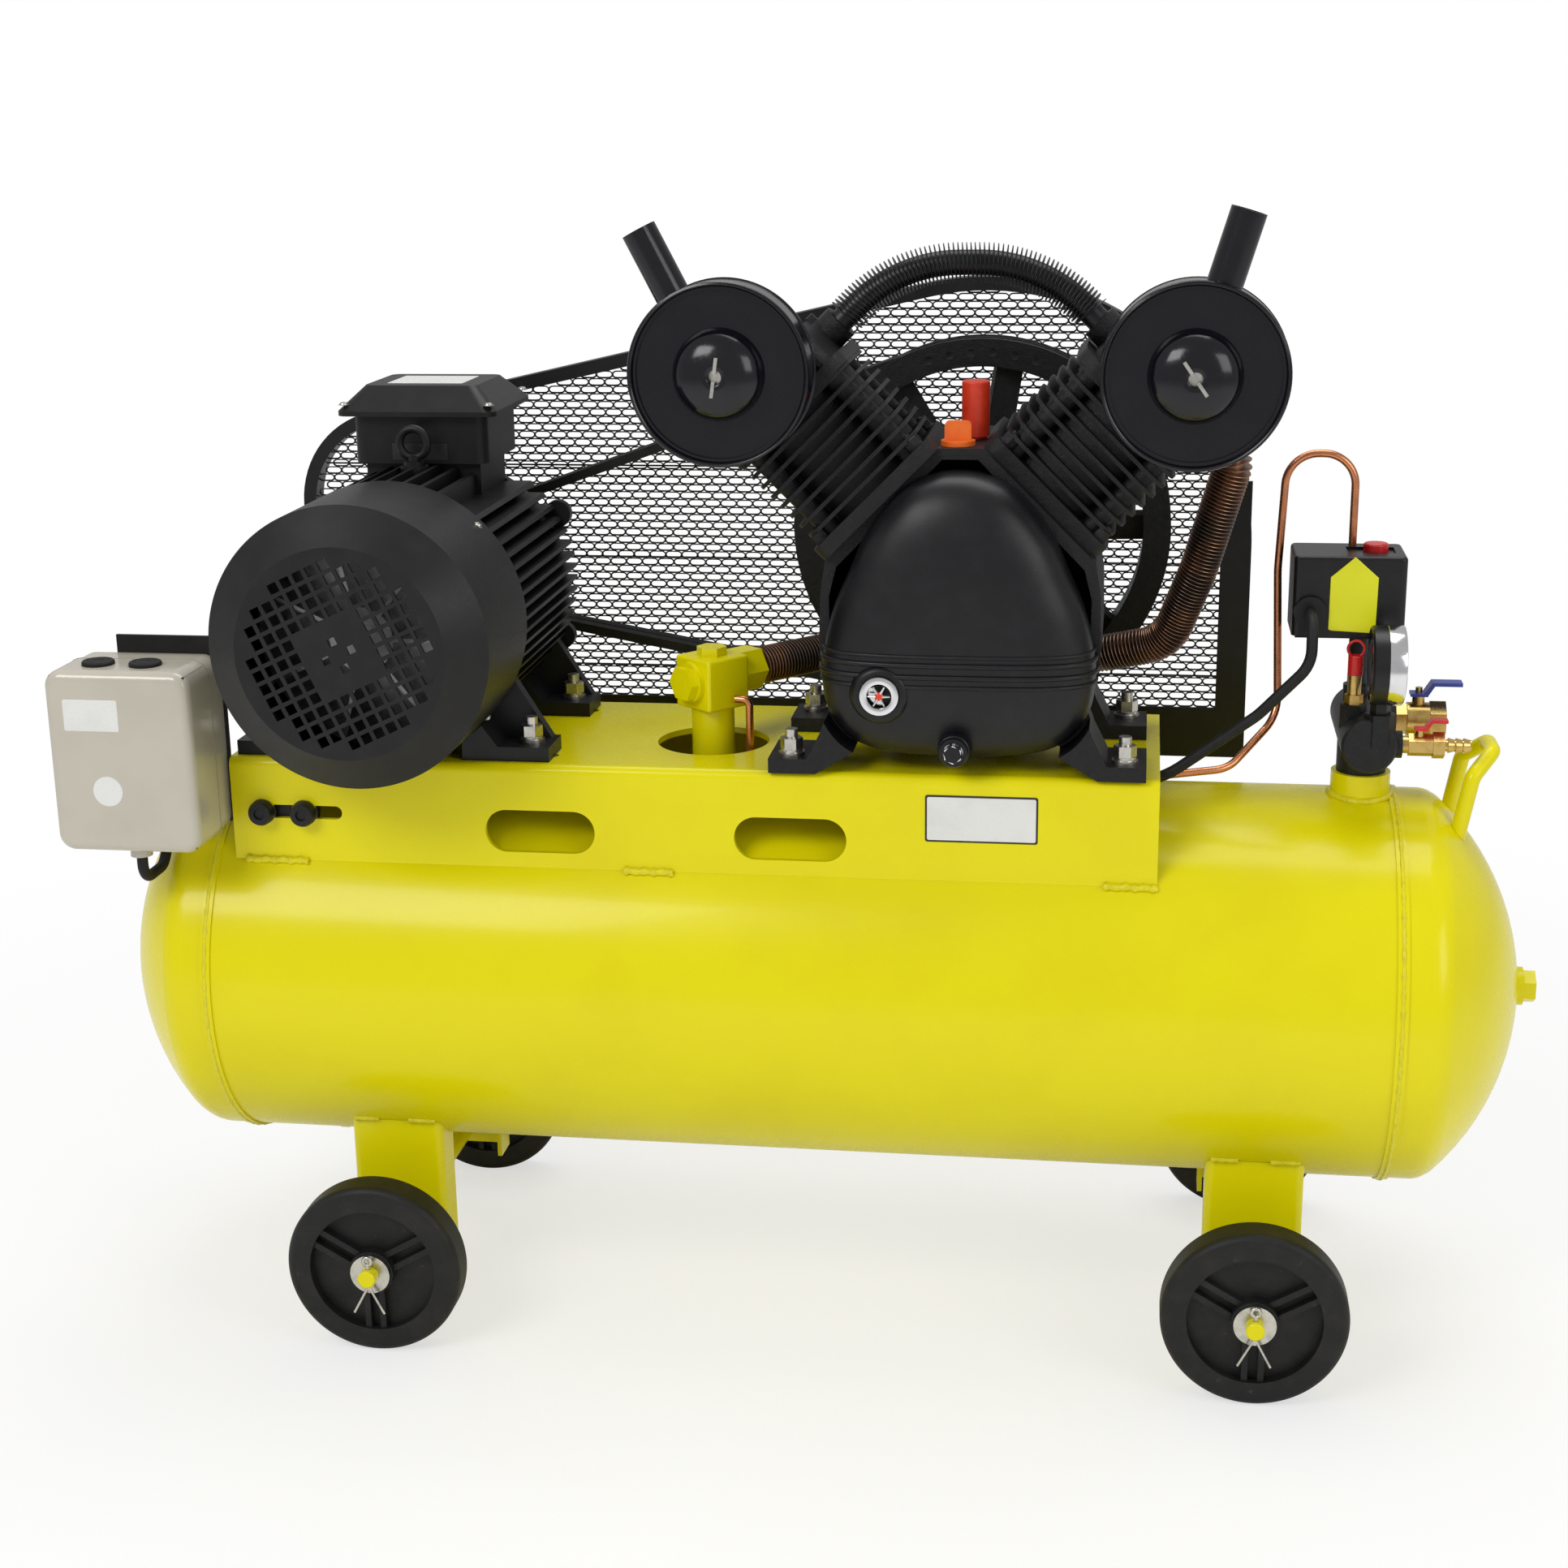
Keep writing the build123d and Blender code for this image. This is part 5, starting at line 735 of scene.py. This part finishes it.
def lid_label():
    x0, x1, y0, y1, z = MX - 33.0, MX + 33.0, 42.0, 96.0, 789.0
    verts, faces = [], []
    for inset, dz in ((0.0, -0.1), (0.0, 0.25), (0.6, 0.45)):
        for x, y in ((x0, y0), (x1, y0), (x1, y1), (x0, y1)):
            verts.append(at(x + (inset if x == x0 else -inset), y + (inset if y == y0 else -inset), z + dz))
    for r in range(2):
        for i in range(4):
            j = (i + 1) % 4
            faces.append((r * 4 + i, r * 4 + j, (r + 1) * 4 + j, (r + 1) * 4 + i))
    faces.append((8, 9, 10, 11))
    return put("lid_label_place", verts, faces, PLATE_PAINT)


lid_label()

# ------------------------------------------------------------------ studio
def plain(name, colour, rough):
    m = bpy.data.materials.new(name)
    m.use_nodes = True
    nt = m.node_tree
    p = nt.nodes["Principled BSDF"]
    p.inputs["Roughness"].default_value = rough
    p.inputs["Base Color"].default_value = (*colour, 1.0)
    return m


floor_mesh = bpy.data.meshes.new("studio_floor")
floor_mesh.from_pydata([(-9, -6, 0), (9, -6, 0), (9, 14, 0), (-9, 14, 0)], [], [(0, 1, 2, 3)])
floor = bpy.data.objects.new("studio_floor", floor_mesh)
bpy.context.scene.collection.objects.link(floor)
floor.location.z = -0.0005
floor_paint = plain("studio_floor_pale", (0.93, 0.93, 0.93), 0.85)
ft = floor_paint.node_tree
glow = ft.nodes.new("ShaderNodeEmission")
glow.inputs["Color"].default_value = (1.0, 1.0, 1.0, 1.0)
glow.inputs["Strength"].default_value = 1.0
place = ft.nodes.new("ShaderNodeTexCoord")
reach = ft.nodes.new("ShaderNodeVectorMath")
reach.operation = "LENGTH"
fade = ft.nodes.new("ShaderNodeMapRange")
fade.inputs["From Min"].default_value = 0.5
fade.inputs["From Max"].default_value = 1.6
fade.inputs["To Min"].default_value = 0.62
fade.inputs["To Max"].default_value = 1.0
view_ray = ft.nodes.new("ShaderNodeLightPath")
share = ft.nodes.new("ShaderNodeMath")
share.operation = "MULTIPLY"
blend = ft.nodes.new("ShaderNodeMixShader")
ft.links.new(place.outputs["Object"], reach.inputs[0])
ft.links.new(reach.outputs["Value"], fade.inputs["Value"])
ft.links.new(fade.outputs["Result"], share.inputs[0])
ft.links.new(view_ray.outputs["Is Camera Ray"], share.inputs[1])
ft.links.new(share.outputs["Value"], blend.inputs[0])
ft.links.new(ft.nodes["Principled BSDF"].outputs[0], blend.inputs[1])
ft.links.new(glow.outputs[0], blend.inputs[2])
ft.links.new(blend.outputs[0], ft.nodes["Material Output"].inputs["Surface"])
paint(floor, floor_paint)

world = bpy.data.worlds.new("studio_world")
bpy.context.scene.world = world
world.use_nodes = True
wt = world.node_tree
for n in list(wt.nodes):
    wt.nodes.remove(n)
out = wt.nodes.new("ShaderNodeOutputWorld")
room = wt.nodes.new("ShaderNodeBackground")
room.inputs["Color"].default_value = (1.0, 1.0, 1.0, 1.0)
room.inputs["Strength"].default_value = 0.50
seen = wt.nodes.new("ShaderNodeBackground")
seen.inputs["Color"].default_value = (1.0, 1.0, 1.0, 1.0)
seen.inputs["Strength"].default_value = 1.0
pick = wt.nodes.new("ShaderNodeMixShader")
rays = wt.nodes.new("ShaderNodeLightPath")
wt.links.new(rays.outputs["Is Camera Ray"], pick.inputs[0])
wt.links.new(room.outputs[0], pick.inputs[1])
wt.links.new(seen.outputs[0], pick.inputs[2])
wt.links.new(pick.outputs[0], out.inputs[0])


def lamp(name, place, target, size, power):
    data = bpy.data.lights.new(name, "AREA")
    data.shape = "RECTANGLE"
    data.size, data.size_y = size
    data.energy = power
    ob = bpy.data.objects.new(name, data)
    bpy.context.scene.collection.objects.link(ob)
    ob.location = place
    ob.rotation_euler = (Vector(target) - Vector(place)).to_track_quat("-Z", "Y").to_euler()


lamp("key_lamp", (-1.5, -2.4, 2.6), (0.0, 0.0, 0.5), (1.6, 1.2), 44.0)
lamp("fill_lamp", (2.4, -1.8, 1.7), (0.0, 0.0, 0.5), (1.4, 1.4), 20.0)
lamp("top_lamp", (0.2, 0.6, 3.0), (0.0, 0.0, 0.4), (2.2, 1.4), 34.0)

# ------------------------------------------------------------------ camera
YAW, PITCH, ROLL = 0.1495874, -0.2792233, -0.0140712
fwd = Vector((-math.sin(YAW) * math.cos(PITCH), math.cos(YAW) * math.cos(PITCH), math.sin(PITCH)))
level = Vector((math.cos(YAW), math.sin(YAW), 0.0))
over = level.cross(fwd)
right = level * math.cos(ROLL) + over * math.sin(ROLL)
up = over * math.cos(ROLL) - level * math.sin(ROLL)
cam_data = bpy.data.cameras.new("photo_camera")
cam_data.lens = 55.18
cam_data.sensor_width = 36.0
cam = bpy.data.objects.new("photo_camera", cam_data)
bpy.context.scene.collection.objects.link(cam)
cam.matrix_world = Matrix.Translation((0.2661, -1.9571, 1.0212)) @ Matrix(
    (right, up, -fwd)).transposed().to_4x4()
bpy.context.scene.camera = cam
bpy.context.scene.view_settings.view_transform = "Standard"
